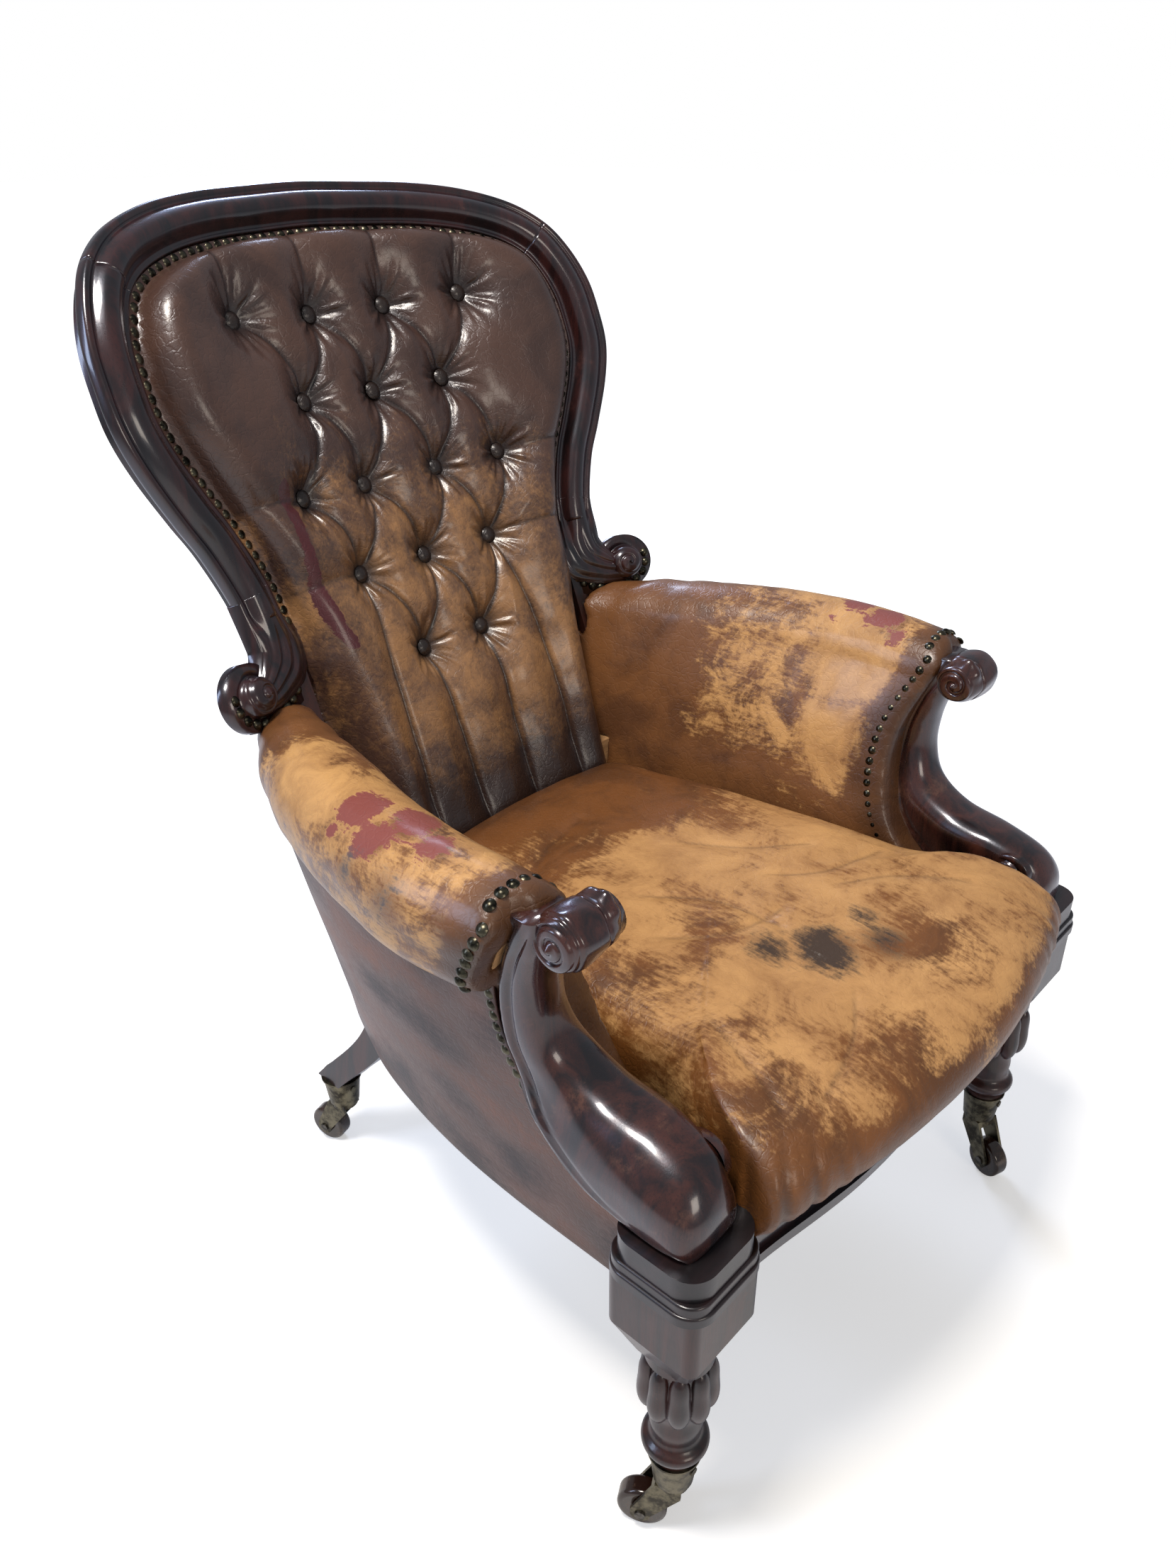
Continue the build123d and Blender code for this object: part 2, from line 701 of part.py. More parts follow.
def make_front_rail():
    # A serpentine show-wood rail with a bead along its lower edge.
    half = front_leg_x - block_width / 2
    end_y = front_leg_y - block_width / 2 + front_rail_setback
    back_y = end_y + front_rail_depth

    def plan(forward):
        right = [(a * half, end_y - b * front_rail_bow - forward)
                 for a, b in front_rail_shares]
        points = [(-x, y) for x, y in reversed(right[1:])] + right
        with BuildLine() as edge:
            Spline(*points)
            Polyline(points[-1], (half, back_y), (-half, back_y), points[0])
        return edge.edges()

    with BuildPart() as rail:
        with BuildSketch(Plane.XY.offset(rail_bottom_z)):
            make_face(plan(0))
        extrude(amount=rail_height)
        for level in (rail_bottom_z + front_rail_bead_height,
                      rail_top_z - 2 * front_rail_bead_height):
            with BuildSketch(Plane.XY.offset(level)):
                make_face(plan(front_rail_bead))
            extrude(amount=front_rail_bead_height)
    return rail.part


def upright_y(level):
    # The middle of the back's board at the upright, at a level.
    face = back_foot_y - tan(radians(back_rake)) * (back_foot_z - level)
    return face + (frame_thickness / 2 - curve_depth(upright_top_x)) / cos(radians(back_rake))


def make_rear_leg():
    # The leg, swept back below the seat, and the upright above it that carries the stile.
    with BuildPart() as leg:
        for height_share, sweep_share in rear_leg_shares:
            width = between(rear_leg_shoulder, rear_leg_width, height_share)
            with BuildSketch(Plane.XY.offset(between(cup_mouth_z, rail_bottom_z,
                                                     height_share))):
                with Locations((between(rear_leg_x, rear_foot_x, sweep_share),
                                between(rear_leg_y, rear_foot_y, sweep_share))):
                    Rectangle(width, width)
        loft()
        for level, x, y, width, depth in (
                (rail_bottom_z, rear_leg_x, rear_leg_y, rear_leg_width, rear_leg_width),
                (rail_top_z, rear_leg_x, rear_leg_y, rear_leg_width, rear_leg_width),
                (arm_underside_z, upright_top_x, upright_y(arm_underside_z), upright_width,
                 frame_thickness),
                (back_foot_z, upright_top_x, upright_y(back_foot_z), upright_width,
                 frame_thickness)):
            with BuildSketch(Plane.XY.offset(level)):
                with Locations((x, y)):
                    Rectangle(width, depth)
        loft(ruled=True)
        with BuildSketch(Plane.XY.offset(cup_mouth_z)):
            with Locations((rear_foot_x, rear_foot_y)):
                Circle(cup_mouth_radius - cup_wall)
        with BuildSketch(Plane.XY.offset(leg_foot_z)):
            with Locations((rear_foot_x, rear_foot_y)):
                Circle(cup_foot_radius - cup_wall)
        loft()
        with BuildSketch(Plane.XY.offset(leg_foot_z)):
            with Locations((rear_foot_x, rear_foot_y)):
                Circle(rivet_head_radius + rivet_clearance)
        extrude(amount=rivet_head_height + rivet_clearance, mode=Mode.SUBTRACT)
    return leg.part


def make_rear_rail():
    inner_x = rear_leg_x - rear_leg_width / 2
    with BuildPart() as rail:
        with BuildSketch(Plane.XY.offset(rail_bottom_z)):
            with Locations((0, rear_leg_y + (rear_leg_width - rail_thickness) / 2)):
                Rectangle(2 * inner_x, rail_thickness)
        extrude(amount=rail_height)
    return rail.part


def make_back_cross_rail():
    # The rail that the inside back is tacked to, level with the seat.
    inner_x = rear_leg_x - rear_leg_width / 2 + upright_width
    level = between(rail_top_z, arm_underside_z, 0.42)
    with BuildPart() as rail:
        with BuildSketch(Plane.XY.offset(level)):
            with Locations((0, rear_leg_y + rail_thickness / 2)):
                Rectangle(2 * inner_x, rail_thickness)
        extrude(amount=rail_height / 2)
    return rail.part


def make_corner_blocks():
    front_x = front_leg_x - block_width / 2
    front_y = front_leg_y - block_width / 2 + front_rail_setback + front_rail_depth
    rear_x = rear_leg_x - rear_leg_width / 2
    rear_y = rear_leg_y + rear_leg_width / 2 - rail_thickness
    with BuildPart() as blocks:
        with BuildSketch(Plane.XY.offset(rail_top_z - corner_block_height)):
            for side in (1, -1):
                for x, y, way in ((front_x, front_y, 1), (rear_x, rear_y, -1)):
                    with BuildLine():
                        Polyline((side * x, y), (side * (x - corner_block_leg), y),
                                 (side * x, y + way * corner_block_leg), close=True)
                    make_face()
        extrude(amount=corner_block_height)
    return blocks.part


def make_block_screws():
    # Two countersunk screws through each corner block into the rail beside it.
    front_x = front_leg_x - block_width / 2 - corner_block_leg / 2
    front_y = front_leg_y - block_width / 2 + front_rail_setback + front_rail_depth
    rear_x = rear_leg_x - rear_leg_width / 2 - corner_block_leg / 2
    rear_y = rear_leg_y + rear_leg_width / 2 - rail_thickness
    depth = corner_block_leg / 2
    with BuildPart() as screws:
        for level in (0.3, 0.7):
            z = rail_top_z - level * corner_block_height
            for side in (1, -1):
                for x, y, way in ((front_x, front_y, -1), (rear_x, rear_y, 1)):
                    head = Plane(origin=(side * x, y - way * depth, z), z_dir=(0, way, 0))
                    with BuildSketch(head):
                        Circle(block_screw_head_radius)
                    with BuildSketch(head.offset(block_screw_head_height)):
                        Circle(block_screw_radius)
                    loft()
                    with BuildSketch(head.offset(block_screw_head_height)):
                        Circle(block_screw_radius)
                    extrude(amount=block_screw_length - block_screw_head_height)
    return screws.part


# Arm facings.

def facing_point(reach_share, height_share):
    return (facing_back_y - reach_share * facing_reach, cap_top_z + height_share * facing_height)


facing_side = Plane(origin=(front_leg_x, 0, 0), x_dir=(0, 1, 0), z_dir=(1, 0, 0))
facing_back = [facing_point(a, b) for a, b in facing_back_shares]
facing_volute = facing_point(*facing_volute_share)


def facing_blank(half):
    # The S seen from the side, at any thickness. The leather stops at its back.
    front = [facing_point(a, b) for a, b in facing_front_shares]
    with BuildPart() as blank:
        with BuildSketch(facing_side):
            with BuildLine():
                Spline(*front)
                Line(front[-1], facing_back[0])
                Spline(*facing_back)
                Line(facing_back[-1], front[0])
            make_face()
            with Locations(facing_volute):
                Circle(facing_volute_radius)
        extrude(amount=half, both=True)
    return blank.part


def make_facing():
    # The S, trimmed to the swelling outline seen from the front, with its carved eyes.
    half = facing_width / 2
    blank = facing_blank(half + overrun)
    with BuildPart() as facing:
        add(blank)
        sides = [(b * half, cap_top_z + a * facing_height) for a, b in facing_side_shares]
        with BuildSketch(Plane(origin=(front_leg_x, facing_back_y, 0), x_dir=(1, 0, 0),
                               z_dir=(0, -1, 0))):
            with BuildLine():
                Spline(*sides)
                Line(sides[-1], (-sides[-1][0], sides[-1][1]))
                Spline(*[(-x, z) for x, z in reversed(sides)])
                Line((-sides[0][0], sides[0][1]), sides[0])
            make_face()
        extrude(amount=2 * facing_reach, both=True, mode=Mode.INTERSECT)
        for side in (1, -1):
            reach = half * table_value(facing_side_shares, facing_volute_share[1], 1)
            eye = facing_side.offset(side * (reach - facing_eye_rise))
            with BuildSketch(eye):
                with Locations(facing_volute):
                    Circle(facing_eye_radius)
            extrude(amount=side * 2 * facing_eye_rise)
        knee = facing_side.offset(-half * table_value(facing_side_shares, 0.14, 1))
        with BuildSketch(knee):
            with Locations(facing_point(*facing_knee_share)):
                Circle(facing_eye_radius)
        extrude(amount=-facing_eye_rise)
    return facing.part


# Back pad.

def crown_at(v):
    return crown_rise * table_value(crown_shares, v / back_height, 1)


def pad_section(half, crown):
    # One level of the pad: a bent back, drawn-in sides and a crowned front.
    shoulder = 0.72 * half
    back = curve_depth(half) - pad_back
    edge = curve_depth(half) + pad_edge_lift
    crest = curve_depth(shoulder) + 0.88 * crown
    swell = curve_depth(0.9 * half) + 0.66 * crown + pad_edge_lift
    with BuildLine() as section:
        ThreePointArc((-half, back), (0, -pad_back), (half, back))
        Line((half, back), (half, edge))
        ThreePointArc((half, edge), (0.9 * half, swell), (shoulder, crest))
        ThreePointArc((shoulder, crest), (0, crown), (-shoulder, crest))
        ThreePointArc((-shoulder, crest), (-0.9 * half, swell), (-half, edge))
        Line((-half, edge), (-half, back))
    return section.edges()


def pad_block():
    with BuildPart() as block:
        for height_share, crown_share, width_share in crown_shares:
            level = Plane(origin=back_plane.origin + back_plane.y_dir * height_share
                          * back_height, x_dir=(1, 0, 0), z_dir=-back_plane.y_dir)
            with BuildSketch(level):
                make_face(pad_section(width_share * back_half_width, crown_share * crown_rise))
        loft()
    return block.part


def pad_outline():
    # The pad fills the frame and narrows below it to the seat.
    edge = inset(full_outline, frame_width + joint_gap)
    foot = crown_shares[0][0] * back_height
    waist = [(crown_shares[k][2] * back_half_width, crown_shares[k][0] * back_height)
             for k in (0, 1, 2)]
    right = waist + edge[:len(half_outline)]
    points = right + [(-u, v) for u, v in reversed(right[:-1])]
    with BuildLine() as line:
        Spline(*points)
        Line(points[-1], points[0])
    return line.edges()


def button_spots():
    # Every button's place on the flat outline and how high its seat lies, row by row.
    rows = []
    for height_share, lift_share, width_shares in button_rows:
        row = sorted({side * a * back_half_width for a in width_shares for side in (1, -1)})
        rows.append([(u, height_share * back_height, lift_share * crown_rise) for u in row])
    return rows


def tuft_cutter(u, v, lift):
    # A funnel from the leather's face down to a button's seat.
    height = crown_at(v) - lift + pad_edge_lift
    spot = back_spot(u, v, lift)
    with BuildPart() as funnel:
        with BuildSketch(spot):
            Circle(tuft_floor_radius)
        with BuildSketch(spot.offset(height)):
            Circle(tuft_mouth_radius)
        loft()
    return funnel.part


def pleat_cutter(start, end):
    # A V along a pleat between two places, cut into the leather's face.
    spots = [back_spot(u, v, crown_at(v) - pleat_depth) for u, v in (start, end)]
    along = spots[1].origin - spots[0].origin
    out = spots[0].z_dir + spots[1].z_dir
    side = along.cross(out)
    rise = 2.5 * pleat_depth
    spread = pleat_width / 2 * rise / pleat_depth
    with BuildPart() as groove:
        with BuildSketch(Plane(origin=spots[0].origin, x_dir=side, z_dir=along)) as profile:
            with BuildLine():
                Polyline((0, 0), (spread, -rise), (-spread, -rise), close=True)
            make_face()
        extrude(amount=along.length)
    return groove.part


def pleats(rows):
    # The diamonds between neighbouring rows, and the tucks out to the pad's edges.
    lines = []
    for upper, lower in zip(rows, rows[1:]):
        pitch = 0.30 * back_half_width
        for u, v, _ in upper:
            lines += [((u, v), (x, y)) for x, y, _ in lower if abs(x - u) < 1.2 * pitch]
    top = 0.90 * back_height
    lines += [((u, v), (u * 1.05, top)) for u, v, _ in rows[0]]
    for row in rows[2:4]:
        u, v, _ = row[-1]
        for side in (1, -1):
            edge = table_value([(c[0] * back_height, c[2]) for c in crown_shares], v, 1)
            lines.append(((side * u, v), (side * 0.98 * edge * back_half_width, v)))
    foot = crown_shares[0][0] * back_height
    lines += [((u, v), (u * 0.9, foot)) for u, v, _ in rows[4]]
    lines += [((side * rows[3][-1][0], rows[3][-1][1]), (side * 0.37 * back_half_width, foot))
              for side in (1, -1)]
    return lines


def make_back_pad():
    rows = button_spots()
    with BuildPart() as pad:
        add(pad_block())
        with BuildSketch(back_plane):
            make_face(pad_outline())
        extrude(amount=back_curve_radius / 2, both=True, mode=Mode.INTERSECT)
        for row in rows:
            for u, v, lift in row:
                add(tuft_cutter(u, v, lift), mode=Mode.SUBTRACT)
        for start, end in pleats(rows):
            add(pleat_cutter(start, end), mode=Mode.SUBTRACT)
    return pad.part


def domed_stud(radius, rim, height, shank, shank_length):
    # A domed head with a short rim, on a shank that reaches below its seat.
    rise = height - rim
    round_radius = (radius ** 2 + rise ** 2) / (2 * rise)
    half_turn = asin(radius / round_radius) / 2
    middle = (round_radius * sin(half_turn),
              height - round_radius * (1 - cos(half_turn)))
    with BuildPart() as stud:
        with BuildSketch(Plane.XZ):
            with BuildLine():
                Polyline((0, height), (0, -shank_length), (shank, -shank_length), (shank, 0),
                         (radius, 0), (radius, rim))
                ThreePointArc((radius, rim), middle, (0, height))
            make_face()
        revolve(axis=Axis.Z)
    return stud.part


def placed(stud, spots):
    # One copy of a stud on each plane.
    with BuildPart() as studs:
        with Locations(*[spot.location for spot in spots]):
            add(stud)
    return studs.part


def make_buttons():
    button = domed_stud(button_radius, button_height / 3, button_height, shank_radius,
                        2 * button_height)
    return placed(button, [back_spot(*spot) for row in button_spots() for spot in row])


# Seat.

def seat_section(height_share, overhang_share, side_share, back_share, bow_share, skin):
    # One level of the seat: a bowed front, sides that follow the facings and the arms, and
    # a back that follows the back pad. A skin moves every side in.
    side = side_share * seat_inset_unit + skin
    front_y = (front_leg_y - block_width / 2 + front_rail_setback
               - overhang_share * seat_front_overhang + skin)
    back_y = seat_back_y - back_share * seat_inset_unit - skin
    front_x = seat_front_half_width - side
    middle_x = seat_mid_half_width - side
    back_x = seat_back_half_width - side
    side_y = seat_side_y + skin
    bow = seat_front_bow * bow_share
    level = rail_top_z + joint_gap + height_share * (seat_height - skin)
    with BuildLine() as section:
        ThreePointArc((-front_x, front_y), (0, front_y - bow), (front_x, front_y))
        Line((front_x, front_y), (middle_x, max(side_y, front_y + 2 * skin)))
        ThreePointArc((middle_x, max(side_y, front_y + 2 * skin)),
                      (between(middle_x, back_x, 0.35), between(side_y, back_y, 0.5)),
                      (back_x, back_y))
        ThreePointArc((back_x, back_y), (0, back_y + seat_back_bow), (-back_x, back_y))
        ThreePointArc((-back_x, back_y),
                      (-between(middle_x, back_x, 0.35), between(side_y, back_y, 0.5)),
                      (-middle_x, max(side_y, front_y + 2 * skin)))
        Line((-middle_x, max(side_y, front_y + 2 * skin)), (-front_x, front_y))
    return level, section.edges()


def seat_form(skin):
    with BuildPart() as form:
        for row in seat_shares:
            level, edges = seat_section(*row, skin)
            with BuildSketch(Plane.XY.offset(level)):
                make_face(edges)
        loft()
    return form.part


def make_seat():
    # The leather is a shell over its stuffing, which is hollow under the middle for the
    # springs.
    outer, inner = seat_form(0), seat_form(seat_skin)
    with BuildPart() as stuffing:
        add(inner)
        with BuildSketch(Plane.XY.offset(rail_top_z - overrun)):
            with Locations((0, (well_front_y + well_back_y) / 2)):
                Rectangle(2 * well_half_width, well_back_y - well_front_y)
        extrude(amount=overrun + well_height, mode=Mode.SUBTRACT)
    with BuildPart() as cover:
        add(outer)
        add(inner, mode=Mode.SUBTRACT)
    return outer, cover.part, stuffing.part


def make_canvas():
    with BuildPart() as canvas:
        with BuildSketch(Plane.XY.offset(rail_top_z + well_height - canvas_thickness)):
            with Locations((0, (well_front_y + well_back_y) / 2)):
                Rectangle(2 * well_half_width, well_back_y - well_front_y)
        extrude(amount=canvas_thickness)
    return canvas.part


def make_spring():
    # A waisted coil of half turns, each a tilted half circle.
    low = rail_bottom_z + spring_wire_radius
    height = rail_top_z + well_height - canvas_thickness - spring_wire_radius - low
    points = []
    for k in range(spring_half_turns + 1):
        share = k / spring_half_turns
        waist = (1 - abs(2 * share - 1)) ** 0.7
        radius = between(spring_end_radius, spring_waist_radius, waist)
        points.append(((-1) ** k * radius, low + height * share))
    with BuildPart() as spring:
        with BuildLine() as coil:
            for k, ((x0, z0), (x1, z1)) in enumerate(zip(points, points[1:])):
                middle = Vector((x0 + x1) / 2, (-1) ** k * abs(x1 - x0) / 2, (z0 + z1) / 2)
                ThreePointArc((x0, 0, z0), middle, (x1, 0, z1))
        with BuildSketch(Plane(origin=coil.line @ 0, z_dir=coil.line % 0)):
            Circle(spring_wire_radius)
        sweep(path=coil.line)
    print("least gap of a seat spring to itself, mm:", round(coil_gap(coil.line), 2))
    return spring.part


def coil_gap(coil):
    # The least gap of a coil's wire to itself, from points along it over half a turn apart.
    count = spring_half_turns * spring_gap_points
    places = [coil @ (k / count) for k in range(count + 1)]
    return min((places[j] - places[i]).length for i in range(count)
               for j in range(i + spring_gap_points, count + 1)) - 2 * spring_wire_radius


def make_springs():
    spring = make_spring()
    middle = (well_front_y + well_back_y) / 2
    with BuildPart() as springs:
        with Locations((0, middle)):
            with GridLocations(spring_pitch, spring_pitch, spring_rows, spring_rows):
                add(spring)
    return springs.part


def rail_footprint(inward):
    # The ground plan of the seat frame, moved in from the tub's leather.
    right = tub_line(0, inward)
    front_y = front_leg_y - block_width / 2 + front_rail_setback + inward
    back_y = rear_leg_y + rear_leg_width / 2 - inward
    right = [(x, min(y, back_y)) for x, y in right if y > front_y]
    points = [(right[0][0], front_y)] + right + [(right[-1][0] - inward, back_y)]
    points = points + [(-x, y) for x, y in reversed(points)]
    with BuildLine() as edge:
        Polyline(*points, close=True)
    return edge.edges()


def make_webbing():
    # Strips both ways across the frame, one layer over the other, under the rails.
    span = 2 * (tub_half_width + tub_depth)
    middle = (well_front_y + well_back_y) / 2
    with BuildPart() as webbing:
        for layer, turn in ((1, 0), (2, 90)):
            with BuildSketch(Plane.XY.offset(rail_bottom_z - layer * webbing_thickness)):
                for k in range(webbing_count):
                    shift = (k - (webbing_count - 1) / 2) * webbing_pitch
                    with Locations((0, middle)):
                        with Locations(Location((0, 0), turn) * Location((0, shift))):
                            Rectangle(span, webbing_width)
            extrude(amount=webbing_thickness)
        with BuildSketch(Plane.XY.offset(rail_bottom_z - 2 * webbing_thickness)):
            make_face(rail_footprint(2.5 * cloth_inset))
        extrude(amount=2 * webbing_thickness, mode=Mode.INTERSECT)
    return without(webbing.part, front_leg, mirrored(front_leg), rear_leg, mirrored(rear_leg))


def make_bottom_cloth():
    with BuildPart() as cloth:
        with BuildSketch(Plane.XY.offset(rail_bottom_z - 2 * webbing_thickness
                                         - cloth_thickness)):
            make_face(rail_footprint(cloth_inset))
        extrude(amount=cloth_thickness)
    beside = [rear_leg.moved(Location((way * cloth_clearance, 0, 0))) for way in (-1, 1)]
    return without(cloth.part, front_leg, mirrored(front_leg), *beside, *map(mirrored, beside))


# Arms.

def arm_plane(length_share, rake_share):
    # The cutting planes turn from upright at the front to the back's rake at the rear.
    lean = radians(back_rake * rake_share)
    y = arm_front_y + length_share * arm_length
    return lean, Plane(origin=(0, y, arm_reference_z), x_dir=(1, 0, 0),
                       z_dir=(0, -cos(lean), sin(lean)))


def arm_section(lean, outer_x, inner_x, top, seat_x, panel_x, foot_x):
    # The roll, its inner side down to the seat, and the hidden side beside the panel.
    def at(x, z):
        return (x * arm_half_width, (z - arm_reference_z) / cos(lean))

    top_z = arm_underside_z + top * arm_height
    shoulder_z = arm_underside_z + arm_shoulder_share * arm_height
    widest_z = arm_underside_z + arm_widest_share * arm_height
    under_z = arm_underside_z + arm_under_share * arm_height
    seat_z = rail_top_z + arm_seat_level
    foot_z = rail_top_z + joint_gap
    with BuildLine() as section:
        ThreePointArc(at(seat_x + arm_foot_share, foot_z), at(seat_x, seat_z),
                      at(inner_x, shoulder_z))
        ThreePointArc(at(inner_x, shoulder_z), at((inner_x + outer_x) / 2, top_z),
                      at(outer_x, widest_z))
        ThreePointArc(at(outer_x, widest_z), at(outer_x - arm_tuck_share, under_z),
                      at(panel_x, arm_underside_z))
        Line(at(panel_x, arm_underside_z), at(foot_x, foot_z))
        Line(at(foot_x, foot_z), at(seat_x + arm_foot_share, foot_z))
    return section.edges()


def make_arm_form():
    with BuildPart() as form:
        for length_share, rake_share, *shares in arm_shares:
            lean, plane = arm_plane(length_share, rake_share)
            with BuildSketch(plane):
                make_face(arm_section(lean, *shares))
        loft()
    return form.part


def make_arm_rail():
    # A beech rail inside the roll, from the facing to the upright.
    with BuildPart() as rail:
        for length_share, rake_share, outer_x, inner_x, top, *_ in arm_shares:
            lean, plane = arm_plane(length_share, rake_share)
            middle_z = arm_underside_z + top * arm_height - arm_rail_drop
            with BuildSketch(plane):
                with Locations(((inner_x + outer_x) / 2 * arm_half_width,
                                (middle_z - arm_reference_z) / cos(lean))):
                    Rectangle(arm_rail_width, arm_rail_height)
        loft()
    return rail.part


def make_back_panel():
    # The outside back: a thin bent sheet nailed behind the frame, then down to the rail.
    gap = frame_thickness + joint_gap
    edge = inset(full_outline, frame_width / 3)
    with BuildPart() as panel:
        with BuildSketch(back_plane):
            with BuildLine():
                Spline(*edge)
                Polyline(edge[-1], (-upright_top_x - upright_width / 2, -scroll_drop),
                         (upright_top_x + upright_width / 2, -scroll_drop), edge[0])
            make_face()
        extrude(amount=back_curve_radius / 2, both=True)
        add(bent_board(-gap, gap + leather_thickness), mode=Mode.INTERSECT)
        foot = panel.faces().sort_by(Axis(back_plane.origin, back_plane.y_dir))[0]
        half = rear_leg_x + rear_leg_width / 2 - leather_thickness
        back_y = rear_leg_y + rear_leg_width / 2 + joint_gap
        with BuildSketch(Plane.XY.offset(rail_bottom_z)):
            with BuildLine():
                ThreePointArc((-half, back_y), (0, back_y + overrun), (half, back_y))
                Line((half, back_y), (half, back_y + leather_thickness))
                ThreePointArc((half, back_y + leather_thickness),
                              (0, back_y + overrun + leather_thickness),
                              (-half, back_y + leather_thickness))
                Line((-half, back_y + leather_thickness), (-half, back_y))
            make_face()
        loft(sections=[foot, panel.pending_faces[0]] if panel.pending_faces else None)
    return panel.part


# Assembly: each soft piece is cut back from the wood and from the pieces before it.

crest_rail, back_stile = make_crest_and_stiles()
front_leg, leg_cap = make_front_leg(), make_cap()
rear_leg, front_seat_rail = make_rear_leg(), make_front_rail()
side_seat_rail = without(
    tub_band(rail_bottom_z, rail_top_z, leather_thickness + joint_gap,
             leather_thickness + joint_gap + rail_thickness), front_leg, rear_leg)
rear_seat_rail = make_rear_rail()
arm_facing = make_facing()
rear_leg = without(rear_leg, back_stile)
back_cross_rail = without(make_back_cross_rail(), rear_leg, mirrored(rear_leg))
arm_rail = without(make_arm_rail(), arm_facing, rear_leg, back_stile)
for piece, name in ((back_stile, "back_stile"), (front_leg, "front_leg"),
                    (leg_cap, "leg_cap"), (rear_leg, "rear_leg"),
                    (side_seat_rail, "side_seat_rail"), (arm_facing, "arm_facing"),
                    (arm_rail, "arm_rail")):
    save_pair(piece, name)
for piece, name in ((crest_rail, "crest_rail"), (front_seat_rail, "front_seat_rail"),
                    (rear_seat_rail, "rear_seat_rail"), (back_cross_rail, "back_cross_rail"),
                    (make_corner_blocks(), "corner_blocks"),
                    (make_block_screws(), "corner_block_screws"),
                    (make_dowels(), "shoulder_dowels"), (make_buttons(), "back_buttons")):
    save(piece, name)
save_castors()

back_pad = make_back_pad()
seat_form_outer, seat_cover, seat_stuffing = make_seat()
seat_wood = (front_leg, mirrored(front_leg), leg_cap, mirrored(leg_cap), arm_facing,
             mirrored(arm_facing))
seat_cover = without(seat_cover, *seat_wood)
seat_stuffing = without(seat_stuffing, *seat_wood)
back_pad = without(back_pad, seat_form_outer, back_cross_rail, crest_rail, back_stile,
                   mirrored(back_stile), rear_leg, mirrored(rear_leg))
facing_cutter = facing_blank(4 * facing_width)
arm_pad = without(make_arm_form(), facing_cutter, leg_cap, rear_leg, back_stile, arm_rail,
                  back_cross_rail, seat_form_outer, back_pad)
side_panel = without(tub_band(rail_bottom_z, arm_underside_z, 0, leather_thickness),
                     facing_cutter, front_leg, leg_cap, rear_leg, arm_pad)
back_panel = without(make_back_panel(), rear_leg, mirrored(rear_leg), side_panel,
                     mirrored(side_panel), side_seat_rail, mirrored(side_seat_rail))
save_pair(arm_pad, "arm_pad")
save_pair(side_panel, "outside_arm_panel")
for piece, name in ((seat_cover, "seat_cover"), (seat_stuffing, "seat_stuffing"),
                    (make_canvas(), "seat_canvas"), (make_springs(), "seat_springs"),
                    (make_webbing(), "seat_webbing"), (make_bottom_cloth(), "bottom_cloth"),
                    (back_panel, "outside_back_panel"), (back_pad, "back_pad")):
    save(piece, name)


# Nails.

def spaced(points, pitch):
    # Places along a smooth line, at the pitch that divides it evenly.
    line = Spline(*points, mode=Mode.PRIVATE)
    count = round(line.length / pitch)
    return [line @ ((k + 0.5) / count) for k in range(count)]


def seat_on(shape, start, direction):
    # A plane on the first face that a line from outside meets, facing back along it.
    hits = shape.find_intersection_points(Axis(start, direction))
    if not hits:
        return None
    point, normal = min(hits, key=lambda hit: (hit[0] - Vector(*start)).dot(Vector(*direction)))
    if normal.dot(Vector(*direction)) > 0:
        normal = -normal
    return Plane(origin=point, z_dir=normal)


def frame_nail_spots():
    # Along the inner edge of the frame and round under both scrolls.
    x0, y0 = inset(full_outline, frame_width)[0]
    eye = (x0 + 0.80 * scroll_width, y0 - 0.70 * scroll_drop)
    ring = scroll_radius + scroll_margin / 2
    drop = scroll_drop + scroll_margin / 2
    hook = [(eye[0] + ring * cos(radians(a)), eye[1] + ring * sin(radians(a)))
            for a in (20, -15, -50, -85)]
    hook += [(x0 + 0.42 * scroll_width, y0 - 0.90 * drop),
             (x0 + 0.16 * scroll_width, y0 - 0.66 * drop),
             (x0 + 0.07 * scroll_width, y0 - 0.30 * drop)]
    inner = inset(full_outline, frame_width - nail_edge)
    line = hook + inner + [(-u, v) for u, v in reversed(hook)]
    return [back_spot(spot.X, spot.Y, 0) for spot in spaced(line, nail_pitch)]


def arm_nail_spots(panel, pad):
    # Down both sides of a facing's back edge and over the end of the roll.
    line = [(y + nail_edge, z) for y, z in facing_back]
    far = 2 * arm_half_width
    spots = []
    for spot in spaced(line, nail_pitch):
        y, z = spot.X, spot.Y
        outside = pad if z > arm_underside_z - nail_edge else panel
        spots.append(seat_on(outside, (far, y, z), (-1, 0, 0)))
        if z > rail_top_z + arm_seat_level / 2:
            spots.append(seat_on(pad, (0, y, z), (1, 0, 0)))
    width = arm_half_width * (arm_shares[0][2] - arm_shares[0][3])
    count = ceil(0.7 * width / nail_pitch)
    middle = arm_half_width * (arm_shares[0][2] + arm_shares[0][3]) / 2
    for k in range(count):
        x = middle + (k - (count - 1) / 2) * nail_pitch
        spots.append(seat_on(pad, (x, line[0][0] + nail_edge, far), (0, 0, -1)))
    return [spot for spot in spots if spot]


def tack_spots():
    # A row of small tacks under the seat leather's front edge.
    half = front_leg_x - block_width / 2 - tack_pitch
    end_y = front_leg_y - block_width / 2 + front_rail_setback
    points = [(a * half, end_y - b * front_rail_bow) for a, b in front_rail_shares]
    line = [(-x, y) for x, y in reversed(points[1:])] + points
    level = rail_top_z - 1.5 * tack_radius
    spots = [seat_on(front_seat_rail, (spot.X, front_leg_y - block_width, level), (0, 1, 0))
             for spot in spaced(line, tack_pitch)]
    return [spot for spot in spots if spot]


